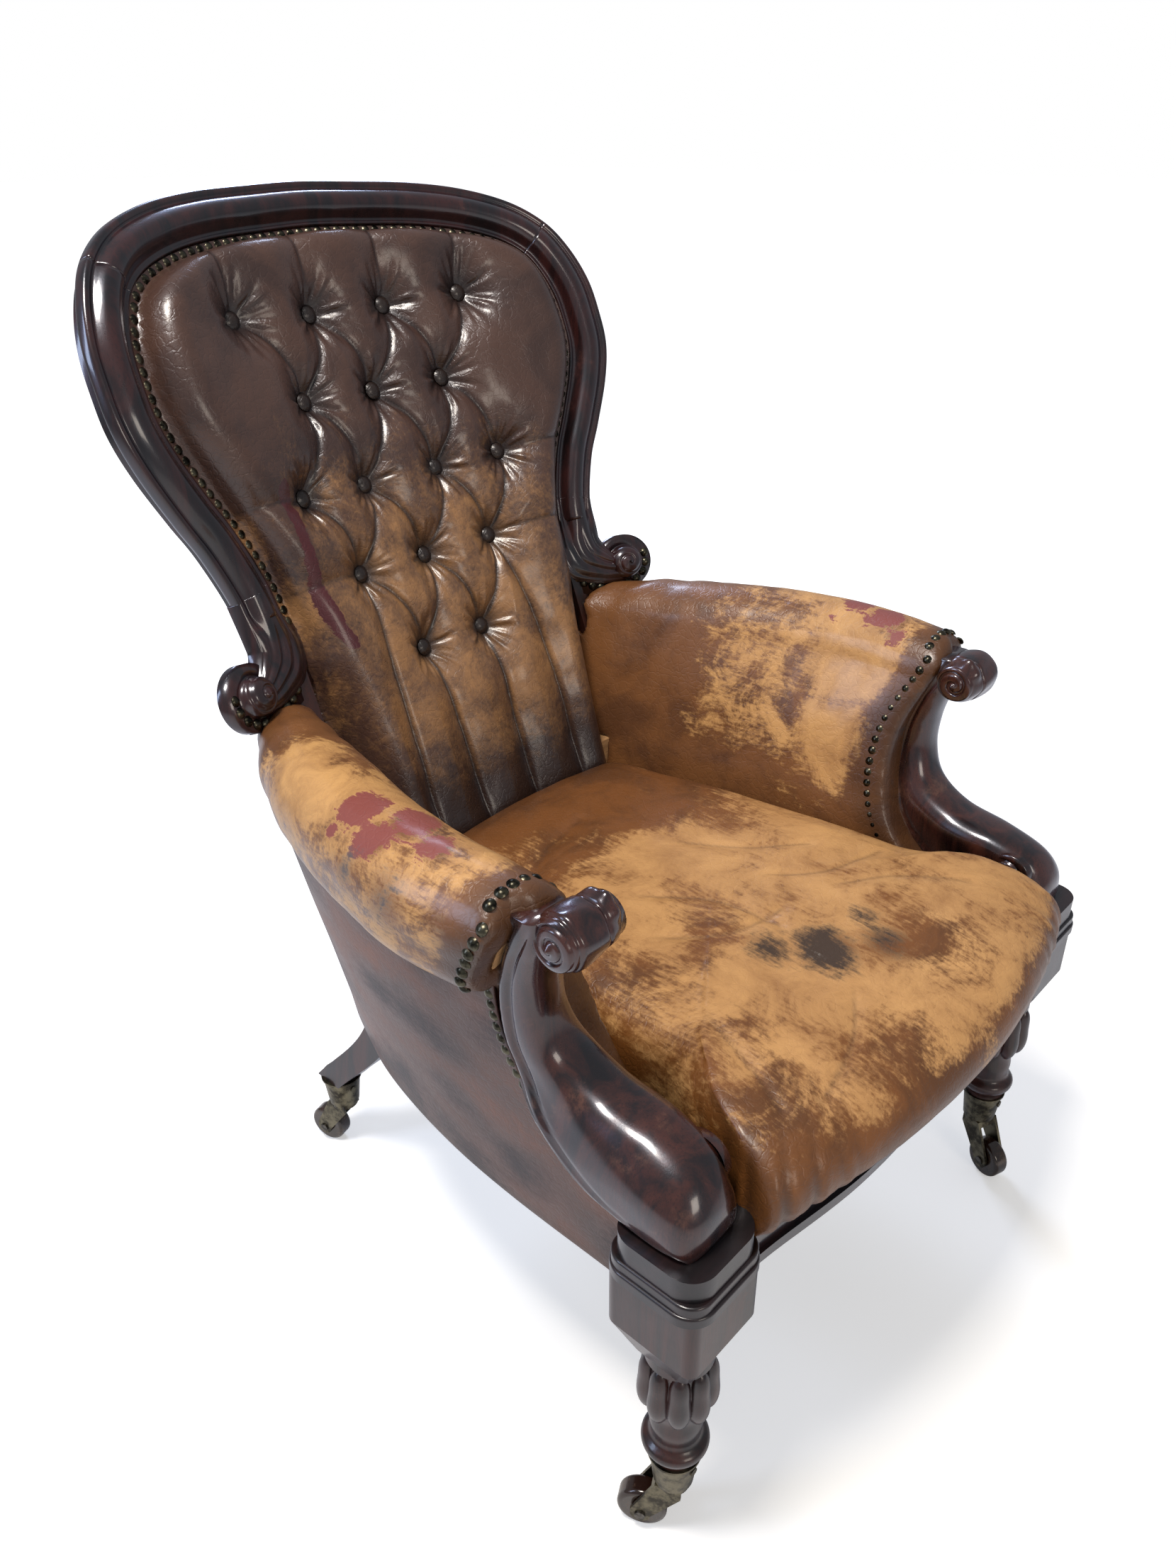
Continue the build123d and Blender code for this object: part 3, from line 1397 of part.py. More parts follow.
nail = domed_stud(nail_radius, nail_height / 5, nail_height, shank_radius, shank_length)
tack = domed_stud(tack_radius, tack_height / 4, tack_height, shank_radius / 2, shank_length)
save(placed(nail, frame_nail_spots()), "back_nails")
save_pair(placed(nail, arm_nail_spots(side_panel, arm_pad)), "arm_nails")
save(placed(tack, tack_spots()), "front_rail_tacks")
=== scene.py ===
import math

import bmesh
import bpy
import numpy as np
from mathutils import Matrix, Vector, noise


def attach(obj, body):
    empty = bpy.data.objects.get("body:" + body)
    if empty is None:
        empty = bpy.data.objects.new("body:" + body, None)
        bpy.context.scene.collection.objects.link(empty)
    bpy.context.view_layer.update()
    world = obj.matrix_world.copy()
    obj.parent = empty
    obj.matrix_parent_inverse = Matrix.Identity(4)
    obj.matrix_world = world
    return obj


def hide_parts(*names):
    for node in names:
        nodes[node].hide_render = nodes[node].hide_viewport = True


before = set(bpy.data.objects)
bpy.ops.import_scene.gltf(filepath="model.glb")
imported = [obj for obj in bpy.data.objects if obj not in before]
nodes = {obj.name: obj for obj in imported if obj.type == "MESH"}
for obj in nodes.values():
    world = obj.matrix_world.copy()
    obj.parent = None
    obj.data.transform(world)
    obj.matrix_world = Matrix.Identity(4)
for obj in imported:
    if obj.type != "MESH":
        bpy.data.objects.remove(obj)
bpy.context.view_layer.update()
mm = 0.001
sides = {"left": 1, "right": -1}
print("frame loaded:", len(nodes), "nodes")


def addObject(name, data):
    piece = bpy.data.objects.new(name, data)
    bpy.context.scene.collection.objects.link(piece)
    return piece


# Camera at the photograph's place and angle

camera = {"place": (-0.7312, -0.6444, 1.016), "turn": -47.69, "down": 29.0, "roll": 0.28, "lens": 27.08}


def addCamera():
    data = bpy.data.cameras.new("photoCamera")
    data.lens = camera["lens"]
    data.sensor_width = 36
    data.sensor_fit = "AUTO"
    data.clip_start = 0.05
    piece = addObject("photoCamera", data)
    turn = (Matrix.Rotation(math.radians(camera["turn"]), 4, "Z")
            @ Matrix.Rotation(math.radians(90 - camera["down"]), 4, "X")
            @ Matrix.Rotation(math.radians(-camera["roll"]), 4, "Z"))
    piece.matrix_world = Matrix.Translation(camera["place"]) @ turn
    bpy.context.scene.camera = piece


addCamera()


# Colour and nodes

def toLinear(hexColour):
    parts = [int(hexColour[i:i + 2], 16) / 255 for i in (1, 3, 5)]
    return tuple(c / 12.92 if c <= 0.04045 else ((c + 0.055) / 1.055) ** 2.4 for c in parts) + (1.0,)


def addNode(tree, kind, inputs=None, output=0, **settings):
    # one node with its settings and links, which gives back one of its outputs
    node = tree.nodes.new("ShaderNode" + kind)
    for key, value in settings.items():
        setattr(node, key, value)
    for key, value in (inputs or {}).items():
        if isinstance(value, bpy.types.NodeSocket):
            tree.links.new(value, node.inputs[key])
        else:
            node.inputs[key].default_value = value
    return node.outputs[output] if len(node.outputs) else None


def newMaterial(name):
    material = bpy.data.materials.new(name)
    material.use_nodes = True
    material.node_tree.nodes.clear()
    return material, material.node_tree


def finishMaterial(tree, settings, colour, roughness, height, strength, distance):
    bump = addNode(tree, "Bump", {"Strength": strength, "Distance": distance, "Height": height})
    shader = addNode(tree, "BsdfPrincipled", {**settings, "Base Color": colour, "Roughness": roughness,
                                              "Normal": bump})
    addNode(tree, "OutputMaterial", {"Surface": shader})


# Leathers: aniline-dyed hide with a shellac-like polish. The dye wears through to tan hide,
# and the hide tears to a burgundy underlayer or blackens with dirt.

leathers = {
    "back": {"base": "#4e372c", "deep": "#2a1d1a", "worn": "#9a7044", "red": "#4a1a1c", "dark": "#33302f",
             "roughness": 0.30, "mottle": 90, "coat": 0.5, "soft": 0.24, "ragged": 44},
    "arm": {"base": "#7a4f2b", "deep": "#44291a", "worn": "#c8975a", "red": "#85443a", "dark": "#5a504c",
            "roughness": 0.34, "mottle": 70, "coat": 0.35, "soft": 0.07, "ragged": 34},
    "seat": {"base": "#76481f", "deep": "#4a2c12", "worn": "#c3935a", "red": "#d8d0c2", "dark": "#3d2c1e",
             "roughness": 0.38, "mottle": 60, "coat": 0.28, "soft": 0.09, "ragged": 62},
    "panel": {"base": "#5a3124", "deep": "#2b1a1b", "worn": "#7a4934", "red": "#3c1f1a", "dark": "#281f26",
              "roughness": 0.40, "mottle": 150, "coat": 0.2, "soft": 0.30, "ragged": 60},
    "button": {"base": "#22160f", "deep": "#140d0a", "worn": "#6d4a2c", "red": "#38231b", "dark": "#1c120e",
               "roughness": 0.34, "mottle": 40, "coat": 0.4, "soft": 0.1, "ragged": 20}}
leatherGrain = {"grainMm": 1.5, "creaseMm": 8.0, "bendMm": 14.0, "flakeMm": 5.0, "scratchMm": 3.2,
                "scratchTurn": (0.3, 0.2, 0.7), "scratchStretch": (1, 0.16, 1), "shadeAndStainColour": "#150c09",
                "masks": {"worn": (1.1, 0.46, 0.56, 1), "red": (0.9, 0.47, 0.53, 0),
                          "dark": (1.0, 0.44, 0.58, 1)}}  # spread, from, to, and whether it is softened


def leatherMaterial(key):
    look, grain = leathers[key], leatherGrain
    material, tree = newMaterial("anilineLeather_" + key)
    place = addNode(tree, "TexCoord", output="Object")
    stretched = addNode(tree, "Mapping", {"Vector": place, "Rotation": grain["scratchTurn"],
                                          "Scale": grain["scratchStretch"]})
    mottle, ragged, flakes, scratches = [
        addNode(tree, "TexNoise", {"Vector": vector, "Scale": 1000 / size, "Detail": detail,
                                   "Roughness": rough, "Distortion": bend})
        for vector, size, detail, rough, bend in (
            (place, look["mottle"], 6, 0.62, 0.6), (place, look["ragged"], 9, 0.72, 0.5),
            (place, grain["flakeMm"], 6, 0.7, 0), (stretched, grain["scratchMm"], 4, 0.6, 0))]

    # ragged edges: broad noise, then flakes and scratches
    edge = addNode(tree, "Math", {0: flakes, 1: 0.28, 2: ragged}, operation="MULTIPLY_ADD")
    edge = addNode(tree, "Math", {0: scratches, 1: 0.42, 2: edge}, operation="MULTIPLY_ADD")
    edge = addNode(tree, "Math", {0: edge, 1: 0.85}, operation="SUBTRACT")

    deepness = addNode(tree, "MapRange", {"Value": mottle, "From Min": 0.40, "From Max": 0.66,
                                          "To Max": 0.62}, interpolation_type="SMOOTHSTEP")
    colour = addNode(tree, "Mix", {0: deepness, 6: toLinear(look["base"]), 7: toLinear(look["deep"])}, 2,
                     data_type="RGBA")
    masks = {}
    for field, (spread, low, high, softened) in grain["masks"].items():
        soft = look["soft"] * softened
        painted = addNode(tree, "Attribute", output="Fac", attribute_name=field)
        mixed = addNode(tree, "Math", {0: edge, 1: spread, 2: painted}, operation="MULTIPLY_ADD")
        masks[field] = addNode(tree, "MapRange", {"Value": mixed, "From Min": low - soft,
                                                  "From Max": high + soft}, interpolation_type="SMOOTHSTEP")
        tone = toLinear(look[field])
        if field == "worn":
            # worn hide is tan with a darker stain in its grain
            stain = addNode(tree, "MapRange", {"Value": ragged, "From Min": 0.30, "From Max": 0.62,
                                               "To Min": 0.35})
            tone = addNode(tree, "Mix", {0: stain, 6: toLinear(look["base"]), 7: tone}, 2, data_type="RGBA")
        colour = addNode(tree, "Mix", {0: masks[field], 6: colour, 7: tone}, 2, data_type="RGBA")

    # painted shade in the folds, button pits and under overhangs, darkening where parts meet, and the real
    # dark dye at the arms' front ends, all in one dark colour
    crease = addNode(tree, "Attribute", output="Fac", attribute_name="crease")
    colour = addNode(tree, "Mix", {0: crease, 6: colour, 7: toLinear(grain["shadeAndStainColour"])}, 2, data_type="RGBA")

    # grain: fine pebbles, a web of fine creases, and steps at the torn edges
    pebbles = addNode(tree, "TexVoronoi", {"Vector": place, "Scale": 1000 / grain["grainMm"]}, "Distance",
                      feature="F1")
    waves = addNode(tree, "TexNoise", {"Vector": place, "Scale": 1000 / grain["bendMm"], "Detail": 3},
                    "Color")
    bent = addNode(tree, "Mix", {0: 0.014, 4: place, 5: waves}, 1, data_type="VECTOR")
    web = addNode(tree, "TexVoronoi", {"Vector": bent, "Scale": 1000 / grain["creaseMm"]}, "Distance",
                  feature="DISTANCE_TO_EDGE")
    web = addNode(tree, "MapRange", {"Value": web, "From Min": 0.0, "From Max": 0.12})
    height = web
    for part, share in ((pebbles, 0.35), (ragged, 1.6), (masks["red"], -1.2)):
        height = addNode(tree, "Math", {0: part, 1: share, 2: height}, operation="MULTIPLY_ADD")
    rough = look["roughness"]
    for part, share in ((masks["worn"], 0.12), (masks["dark"], 0.22), (flakes, 0.12)):
        rough = addNode(tree, "Math", {0: part, 1: share, 2: rough}, operation="MULTIPLY_ADD")
    finishMaterial(tree, {"IOR": 1.48, "Coat Weight": look["coat"], "Coat Roughness": 0.20,
                          "Coat Tint": toLinear("#e3e9ff")}, colour, rough, height, 0.30, 0.6 * mm)
    return material


# Woods: French-polished mahogany, a wiped paler mahogany on the leg blocks, and raw beech.
# Long pores along the grain, under a gloss that shows the windows.

woods = {
    "showMahogany": {"light": "#371711", "dark": "#0d0606", "wear": "#5c3324", "grain": (1, 1, 0.10),
                     "pore": 1.6, "roughness": 0.28, "coat": 0.9, "rubbed": 0.60},
    "kneeMahogany": {"light": "#4a2417", "dark": "#180b08", "wear": "#6b452f", "grain": (1, 1, 0.14),
                     "pore": 1.6, "roughness": 0.26, "coat": 0.95, "rubbed": 0.55},
    "legMahogany": {"light": "#3c1b12", "dark": "#0f0706", "wear": "#5c3323", "grain": (1, 1, 0.09),
                    "pore": 1.7, "roughness": 0.34, "coat": 0.4, "rubbed": 0.60},
    "capMahogany": {"light": "#241210", "dark": "#0a0606", "wear": "#3b2019", "grain": (0.12, 1, 1),
                    "pore": 1.6, "roughness": 0.34, "coat": 0.5, "rubbed": 0.62},
    "railMahogany": {"light": "#2c130d", "dark": "#0c0605", "wear": "#54291b", "grain": (0.10, 1, 1),
                     "pore": 1.6, "roughness": 0.28, "coat": 0.9, "rubbed": 0.62},
    "rawBeech": {"light": "#b98f63", "dark": "#8a6440", "wear": "#a87f55", "grain": (0.12, 0.12, 1),
                 "pore": 1.2, "roughness": 0.62, "coat": 0.0, "rubbed": 0.58}}
woodGrain = {"figureMm": 26, "rubbedMm": 38, "rubbedSpread": 0.16, "poreDark": "#0c0504"}


def woodMaterial(key):
    look, grain = woods[key], woodGrain
    material, tree = newMaterial("wood_" + key)
    place = addNode(tree, "TexCoord", output="Object")
    along = addNode(tree, "Mapping", {"Vector": place, "Scale": look["grain"]})
    figure, pores, worn = [
        addNode(tree, "TexNoise", {"Vector": vector, "Scale": 1000 / size, "Detail": detail,
                                   "Roughness": rough, "Distortion": bend})
        for vector, size, detail, rough, bend in (
            (along, grain["figureMm"], 6, 0.6, 1.1), (along, look["pore"], 3, 0.6, 0),
            (place, grain["rubbedMm"], 8, 0.7, 0))]
    tone = addNode(tree, "MapRange", {"Value": figure, "From Min": 0.34, "From Max": 0.66},
                   interpolation_type="SMOOTHSTEP")
    rubbed = addNode(tree, "MapRange", {"Value": worn, "From Min": look["rubbed"],
                                        "From Max": look["rubbed"] + grain["rubbedSpread"], "To Max": 0.7},
                     interpolation_type="SMOOTHSTEP")
    pit = addNode(tree, "MapRange", {"Value": pores, "From Min": 0.30, "From Max": 0.48, "To Min": 0.55,
                                     "To Max": 0.0})
    colour = toLinear(look["dark"])
    for mask, hexColour in ((tone, look["light"]), (rubbed, look["wear"]), (pit, grain["poreDark"])):
        colour = addNode(tree, "Mix", {0: mask, 6: colour, 7: toLinear(hexColour)}, 2, data_type="RGBA")
    rough = addNode(tree, "Math", {0: worn, 1: 0.22, 2: look["roughness"] - 0.09}, operation="MULTIPLY_ADD")
    height = addNode(tree, "Math", {0: worn, 1: 1.5, 2: pores}, operation="MULTIPLY_ADD")
    finishMaterial(tree, {"IOR": 1.5, "Coat Weight": look["coat"], "Coat Roughness": 0.12,
                          "Coat Tint": toLinear("#e0e8ff")}, colour, rough, height, 0.10, 0.6 * mm)
    return material


# Metals and the rest: cast brass gone brown, domed nails, steel wire, glazed wheels, jute and black cotton

metals = {
    "agedBrass": {"light": "#77715f", "dark": "#35312a", "roughness": 0.34, "spotMm": 14},
    "antiqueNailBrass": {"light": "#5c594c", "dark": "#23221e", "roughness": 0.26, "spotMm": 12},
    "dullSteel": {"light": "#6d6a66", "dark": "#3b3835", "roughness": 0.40, "spotMm": 6},
    "coppered": {"light": "#7d5a41", "dark": "#4b3527", "roughness": 0.42, "spotMm": 8}}


def metalMaterial(key):
    look = metals[key]
    material, tree = newMaterial("metal_" + key)
    place = addNode(tree, "TexCoord", output="Object")
    tarnish = addNode(tree, "TexNoise", {"Vector": place, "Scale": 1000 / look["spotMm"], "Detail": 6,
                                         "Roughness": 0.65})
    spread = addNode(tree, "MapRange", {"Value": tarnish, "From Min": 0.38, "From Max": 0.62},
                     interpolation_type="SMOOTHSTEP")
    colour = addNode(tree, "Mix", {0: spread, 6: toLinear(look["dark"]), 7: toLinear(look["light"])}, 2,
                     data_type="RGBA")
    rough = addNode(tree, "Math", {0: tarnish, 1: 0.30, 2: look["roughness"] - 0.12},
                    operation="MULTIPLY_ADD")
    finishMaterial(tree, {"Metallic": 1.0}, colour, rough, tarnish, 0.25, 0.4 * mm)
    return material


glaze = {"brown": "#22120d", "dust": "#5b4436", "dustMm": 11}


def glazedMaterial():
    # brown-glazed stoneware wheels, dusty in patches
    material, tree = newMaterial("glazedStoneware")
    place = addNode(tree, "TexCoord", output="Object")
    dust = addNode(tree, "TexNoise", {"Vector": place, "Scale": 1000 / glaze["dustMm"], "Detail": 7,
                                      "Roughness": 0.7})
    mask = addNode(tree, "MapRange", {"Value": dust, "From Min": 0.5, "From Max": 0.72, "To Max": 0.7})
    colour = addNode(tree, "Mix", {0: mask, 6: toLinear(glaze["brown"]), 7: toLinear(glaze["dust"])}, 2,
                     data_type="RGBA")
    rough = addNode(tree, "Math", {0: mask, 1: 0.4, 2: 0.18}, operation="MULTIPLY_ADD")
    finishMaterial(tree, {"IOR": 1.52, "Coat Weight": 0.4, "Coat Roughness": 0.08}, colour, rough, dust,
                   0.2, 0.4 * mm)
    return material


cloths = {"juteWebbing": {"light": "#a5906b", "dark": "#6e5b3f", "threadMm": 2.4},
          "blackCotton": {"light": "#2b2826", "dark": "#141210", "threadMm": 1.8}}


def clothMaterial(key):
    # plain weave; the threads are drawn a little coarse so that they show
    look = cloths[key]
    material, tree = newMaterial("cloth_" + key)
    place = addNode(tree, "TexCoord", output="Object")
    threads = [addNode(tree, "TexWave", {"Vector": place, "Scale": 1000 / look["threadMm"] / 6.28,
                                         "Distortion": 0.6, "Detail": 1}, "Fac", bands_direction=direction)
               for direction in ("X", "Y")]
    weave = addNode(tree, "Math", {0: threads[0], 1: threads[1]}, operation="MAXIMUM")
    colour = addNode(tree, "Mix", {0: weave, 6: toLinear(look["dark"]), 7: toLinear(look["light"])}, 2,
                     data_type="RGBA")
    rough = addNode(tree, "Math", {0: weave, 1: -0.1, 2: 0.95}, operation="MULTIPLY_ADD")
    finishMaterial(tree, {"Sheen Weight": 0.2}, colour, rough, weave, 0.5, 0.6 * mm)
    return material


materials = {"leather_" + key: leatherMaterial(key) for key in leathers}
materials.update({key: woodMaterial(key) for key in woods})
materials.update({key: metalMaterial(key) for key in metals})
materials.update({key: clothMaterial(key) for key in cloths})
materials["glazed"] = glazedMaterial()
print("materials:", len(materials))


# Finishes of the pieces that come from the frame as they are

finishes = {"leg_cap": "capMahogany", "front_leg": "legMahogany", "rear_leg": "legMahogany",
            "front_seat_rail": "railMahogany", "side_seat_rail": "rawBeech", "rear_seat_rail": "rawBeech",
            "back_cross_rail": "rawBeech", "arm_rail": "rawBeech", "corner_blocks": "rawBeech",
            "corner_block_screws": "dullSteel", "shoulder_dowels": "rawBeech",
            "castor_cup": "agedBrass", "castor_horn": "agedBrass", "castor_axle": "dullSteel",
            "castor_wheel": "glazed", "castor_screws": "agedBrass", "seat_springs": "coppered",
            "back_nails": "antiqueNailBrass", "arm_nails": "antiqueNailBrass",
            "front_rail_tacks": "antiqueNailBrass", "back_buttons": "leather_button",
            "seat_canvas": "juteWebbing", "seat_webbing": "juteWebbing", "seat_stuffing": "juteWebbing",
            "bottom_cloth": "blackCotton"}
for name, piece in nodes.items():
    for start, key in finishes.items():
        if name.startswith(start):
            piece.data.materials.clear()
            piece.data.materials.append(materials[key])


# Meshes, all in millimetres until they are made

def addPiece(name, points, faces, materialKey, standsFor, smooth=True):
    # a mesh on the chair's body, in place of the frame's nodes, which it hides
    mesh = bpy.data.meshes.new(name)
    mesh.from_pydata((np.asarray(points, float) * mm).tolist(), [], faces)
    mesh.materials.append(materials[materialKey])
    mesh.polygons.foreach_set("use_smooth", [smooth] * len(mesh.polygons))
    mesh.update()
    piece = addObject(name, mesh)
    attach(piece, "chair")
    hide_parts(*standsFor)
    return piece


def gridFaces(rows, columns, closed=False):
    faces = []
    last = columns if closed else columns - 1
    for r in range(rows - 1):
        for c in range(last):
            d = (c + 1) % columns
            faces.append((r * columns + c, r * columns + d, (r + 1) * columns + d, (r + 1) * columns + c))
    return faces


def shifted(faces, base):
    return [tuple(base + k for k in f) for f in faces]


def paint(piece, **fields):
    for name, values in fields.items():
        layer = piece.data.attributes.new(name, "FLOAT", "POINT")
        layer.data.foreach_set("value", np.asarray(values, np.float32))


def blobs(points, spots):
    # 1 at a spot's middle, falling to 0 at its radius; a spot is x, y, z, radius and strength
    field = np.zeros(len(points))
    for x, y, z, radius, strength in spots:
        reach = np.linalg.norm(points - np.array([x, y, z]), axis=1) / radius
        field = np.maximum(field, strength * (1 - reach))
    return field


def bell(value, width):
    return np.exp(-(value / width) ** 2)


def unit(vectors, least=0.0):
    return vectors / (np.linalg.norm(vectors, axis=1)[:, None] + least)


def smoothStep(low, high, value):
    t = np.clip((value - low) / (high - low), 0, 1)
    return t * t * (3 - 2 * t)


def smoothLine(points, count):
    # a Catmull-Rom line through points, evenly stepped
    p = np.array(points, float)
    p = np.vstack([2 * p[0] - p[1], p, 2 * p[-1] - p[-2]])
    fine = []
    for a, b, c, d in zip(p, p[1:], p[2:], p[3:]):
        for t in np.linspace(0, 1, 24, endpoint=False):
            fine.append(0.5 * (2 * b + (c - a) * t + (2 * a - 5 * b + 4 * c - d) * t * t
                               + (3 * b - a - 3 * c + d) * t ** 3))
    fine.append(p[-2])
    fine = np.array(fine)
    steps = np.concatenate([[0], np.cumsum(np.linalg.norm(np.diff(fine, axis=0), axis=1))])
    at = np.linspace(0, steps[-1], count)
    return np.stack([np.interp(at, steps, fine[:, k]) for k in range(fine.shape[1])], 1)


def lineDistance(places, line):
    # from each flat place to a line of points: distance, how far along it, which side, and the way there
    best = np.full(len(places), 1e9)
    along = np.zeros(len(places))
    side = np.zeros(len(places))
    way = np.zeros((len(places), 2))
    lengths = np.linalg.norm(np.diff(line, axis=0), axis=1)
    start = 0.0
    for a, b, length in zip(line, line[1:], lengths):
        run = (b - a) / max(length, 1e-9)
        t = np.clip((places - a) @ run, 0, length)
        gap = places - a - t[:, None] * run
        reach = np.linalg.norm(gap, axis=1)
        near = reach < best
        best[near] = reach[near]
        along[near] = start + t[near]
        side[near] = (run[0] * gap[:, 1] - run[1] * gap[:, 0])[near]
        way[near] = -gap[near]
        start += length
    return best, along, side, way


# The back's bent and leaning board, which the pad, its buttons and the outside back follow

back = {"rake": 21.0, "footY": 238.0, "footZ": 596.4, "curve": 640.0, "halfWidth": 286.0, "height": 407.0,
        "frameWidth": 52.0}
backOutline = [(0.772, 0.047), (0.783, 0.130), (0.834, 0.238), (0.890, 0.315), (0.958, 0.418),
               (0.995, 0.506), (1.0, 0.590), (0.990, 0.676), (0.951, 0.762), (0.888, 0.835),
               (0.776, 0.899), (0.612, 0.948), (0.420, 0.978), (0.210, 0.993), (0.0, 1.0)]


def backPoint(u, v, lift):
    turn = np.arcsin(u / back["curve"])
    radius = back["curve"] - lift
    forward = back["curve"] - radius * np.cos(turn)
    lean = math.radians(back["rake"])
    return np.stack([radius * np.sin(turn), back["footY"] + v * math.sin(lean) - forward * math.cos(lean),
                     back["footZ"] + v * math.cos(lean) + forward * math.sin(lean)], -1)


def outlineFrames(count):
    # the frame's outline from scroll to scroll, evenly stepped, with the way inward at each point
    whole = [(a * back["halfWidth"], b * back["height"]) for a, b in backOutline]
    whole += [(-u, v) for u, v in reversed(whole[:-1])]
    line = smoothLine(whole, count)
    run = unit(np.gradient(line, axis=0))
    return line, np.stack([-run[:, 1], run[:, 0]], 1), whole


# Carved show-wood: the crest and stiles are one moulding swept round the back, the stiles end in
# fluted scrolls, and the arm facings are turned-over S scrolls. Each stands for its solid.

moulding = [(13, -26), (13, -12), (3, -11), (0.6, -9), (0, -6), (0, -1.5), (1.2, 0.8), (3.2, 1.6), (5.4, 1.2),
            (7.0, 0.2), (8.2, 1.6), (10, 4.6), (13, 8.2), (17, 10.9), (21, 11.8), (25, 11.0), (29, 8.4),
            (32, 5.0), (34.5, 2.4), (36.5, 1.4), (38, 2.4), (39.4, 2.8), (40.6, 2.0), (41.4, 0.15),
            (46, 0.05), (51.4, 0.05), (52, -0.6), (52, -14)]
mouldingFace = slice(5, 26)  # those of the moulding's points that the scroll takes over
outlineSteps = 801
# the crest's joint is at this point of the outline; its gap, and how far the stiles run under
# their scrolls, are in steps of the outline
crestJoint = {"point": 9, "gap": 0.08, "stileFrom": 11, "stileSections": 100, "crestSections": 190}


def sided(faces, side):
    # a piece mirrored to the right has its faces turned over
    return faces if side > 0 else [tuple(reversed(f)) for f in faces]


def capFaces(first, last, across):
    # flat ends of a sweep whose sections run from first to last
    return [tuple(first + k for k in range(across))[::-1], tuple(last + k for k in range(across))]


def sweepMoulding(name, node, line, inward):
    profile = np.array(moulding, float)
    fine = np.vstack([profile[0], smoothLine(profile, 3 * len(profile))[1:-1], profile[-1]])
    points = []
    for at, way in zip(line, inward):
        spots = at + fine[:, :1] * way
        points.append(backPoint(spots[:, 0], spots[:, 1], fine[:, 1]))
    points = np.vstack(points)
    across = len(fine)
    faces = gridFaces(len(line), across) + capFaces(0, (len(line) - 1) * across, across)
    addPiece(name, points, faces, "showMahogany", [node])


stileEnd = {"width": 92.0, "drop": 66.0, "radius": 18.0, "margin": 12.0, "thickness": 13.0,
            "over": [(0.57, 0.23), (0.67, 0.48)], "eye": (0.80, 0.70),
            "overEnd": [-8, 15], "underEnd": [3, -18],
            "under": [(-0.01, 0.33), (0.10, 0.70), (0.41, 0.91), (0.66, 0.985)], "from": 24, "steps": 70,
            "across": 61, "proud": 0.12, "flutes": 4.5, "fluteLift": 8.5, "fluteDepth": 2.6,
            "bossRings": 26, "bossTurns": 72, "bossLift": 16.5, "spiral": 1.9, "grooveDepth": 1.8,
            "eyeLift": 2.0, "grooveWidth": 0.13, "eyeWidth": 0.22, "blend": (0.10, 0.50)}


def makeScroll(name, side):
    # the moulding opens into flutes that roll up under a boss
    end, steps = stileEnd, stileEnd["steps"]
    line, inward, _ = outlineFrames(outlineSteps)
    start, above = line[0], end["from"]
    foot = start + back["frameWidth"] * inward[0]
    spot = lambda share: foot + np.array([share[0] * end["width"], -share[1] * end["drop"]])
    eye = spot(end["eye"])
    over = smoothLine([tuple(line[above]), tuple(start)] + [tuple(spot(q)) for q in end["over"]]
                      + [tuple(eye + end["overEnd"])], steps)
    under = smoothLine([tuple(line[above] + back["frameWidth"] * inward[above]), tuple(foot)]
                       + [tuple(spot(q)) for q in end["under"]] + [tuple(eye + end["underEnd"])], steps)
    s = np.linspace(0, 1, end["across"])
    profile = np.interp(s * back["frameWidth"], *np.array(moulding[mouldingFace]).T)
    points = []
    for k, (a, b) in enumerate(zip(over, under)):
        t = k / (steps - 1)
        blend = smoothStep(*end["blend"], t)
        flutes = (end["fluteLift"] + end["fluteDepth"] * np.abs(np.sin(np.pi * end["flutes"] * s ** 0.9))
                  * np.sin(np.pi * s) ** 0.4)
        flutes = flutes * np.sin(np.pi * np.clip(s, 0.02, 0.98)) ** 0.35
        lift = (1 - blend) * profile + blend * (flutes - 0.5) + end["proud"]
        out = (b - a) / np.linalg.norm(b - a)
        edge = b + out * np.array([0.4, end["margin"] * smoothStep(0.12, 0.3, t) + 0.5])[:, None]
        flat = np.vstack([a - 0.15 * out, a + (b - a) * s[:, None], edge, edge[-1:]])
        lift = np.concatenate([[-end["thickness"]], lift, [0.0, 0.0], [-end["thickness"]]])
        points.append(backPoint(side * flat[:, 0], flat[:, 1], lift))
    width = end["across"] + 4
    points = np.vstack(points)
    faces = gridFaces(len(over), width) + capFaces(0, (len(over) - 1) * width, width)

    # the boss: a dome with a spiral groove, on a thin ledge for the nails
    rings, turns, base = end["bossRings"], end["bossTurns"], len(points)
    ledge = end["radius"] + end["margin"]
    radii = np.concatenate([np.linspace(0.5, end["radius"] + 1, rings), [end["radius"] + 1.2, ledge, ledge]])
    angle = np.linspace(0, 2 * np.pi, turns, endpoint=False)
    boss = []
    for j, r in enumerate(radii):
        if j < rings:
            share = r / (end["radius"] + 1)
            coil = (share * end["spiral"] - angle / (2 * np.pi)) % 1
            lift = (end["bossLift"] * np.sqrt(np.clip(1 - share ** 2.6, 0, 1))
                    - end["grooveDepth"] * bell(coil - 0.5, end["grooveWidth"]))
            lift = lift + end["eyeLift"] * bell(share, end["eyeWidth"])
        else:
            lift = np.full(turns, 0.0 if j < len(radii) - 1 else -end["thickness"])
        boss.append(backPoint(side * (eye[0] + r * np.cos(angle)), eye[1] + r * np.sin(angle), lift))
    points = np.vstack([points] + boss)
    faces += shifted(gridFaces(len(radii), turns, closed=True) + [tuple(range(turns))], base)
    addPiece("stileScroll_" + name, points, sided(faces, side), "showMahogany", ["back_stile_" + name])


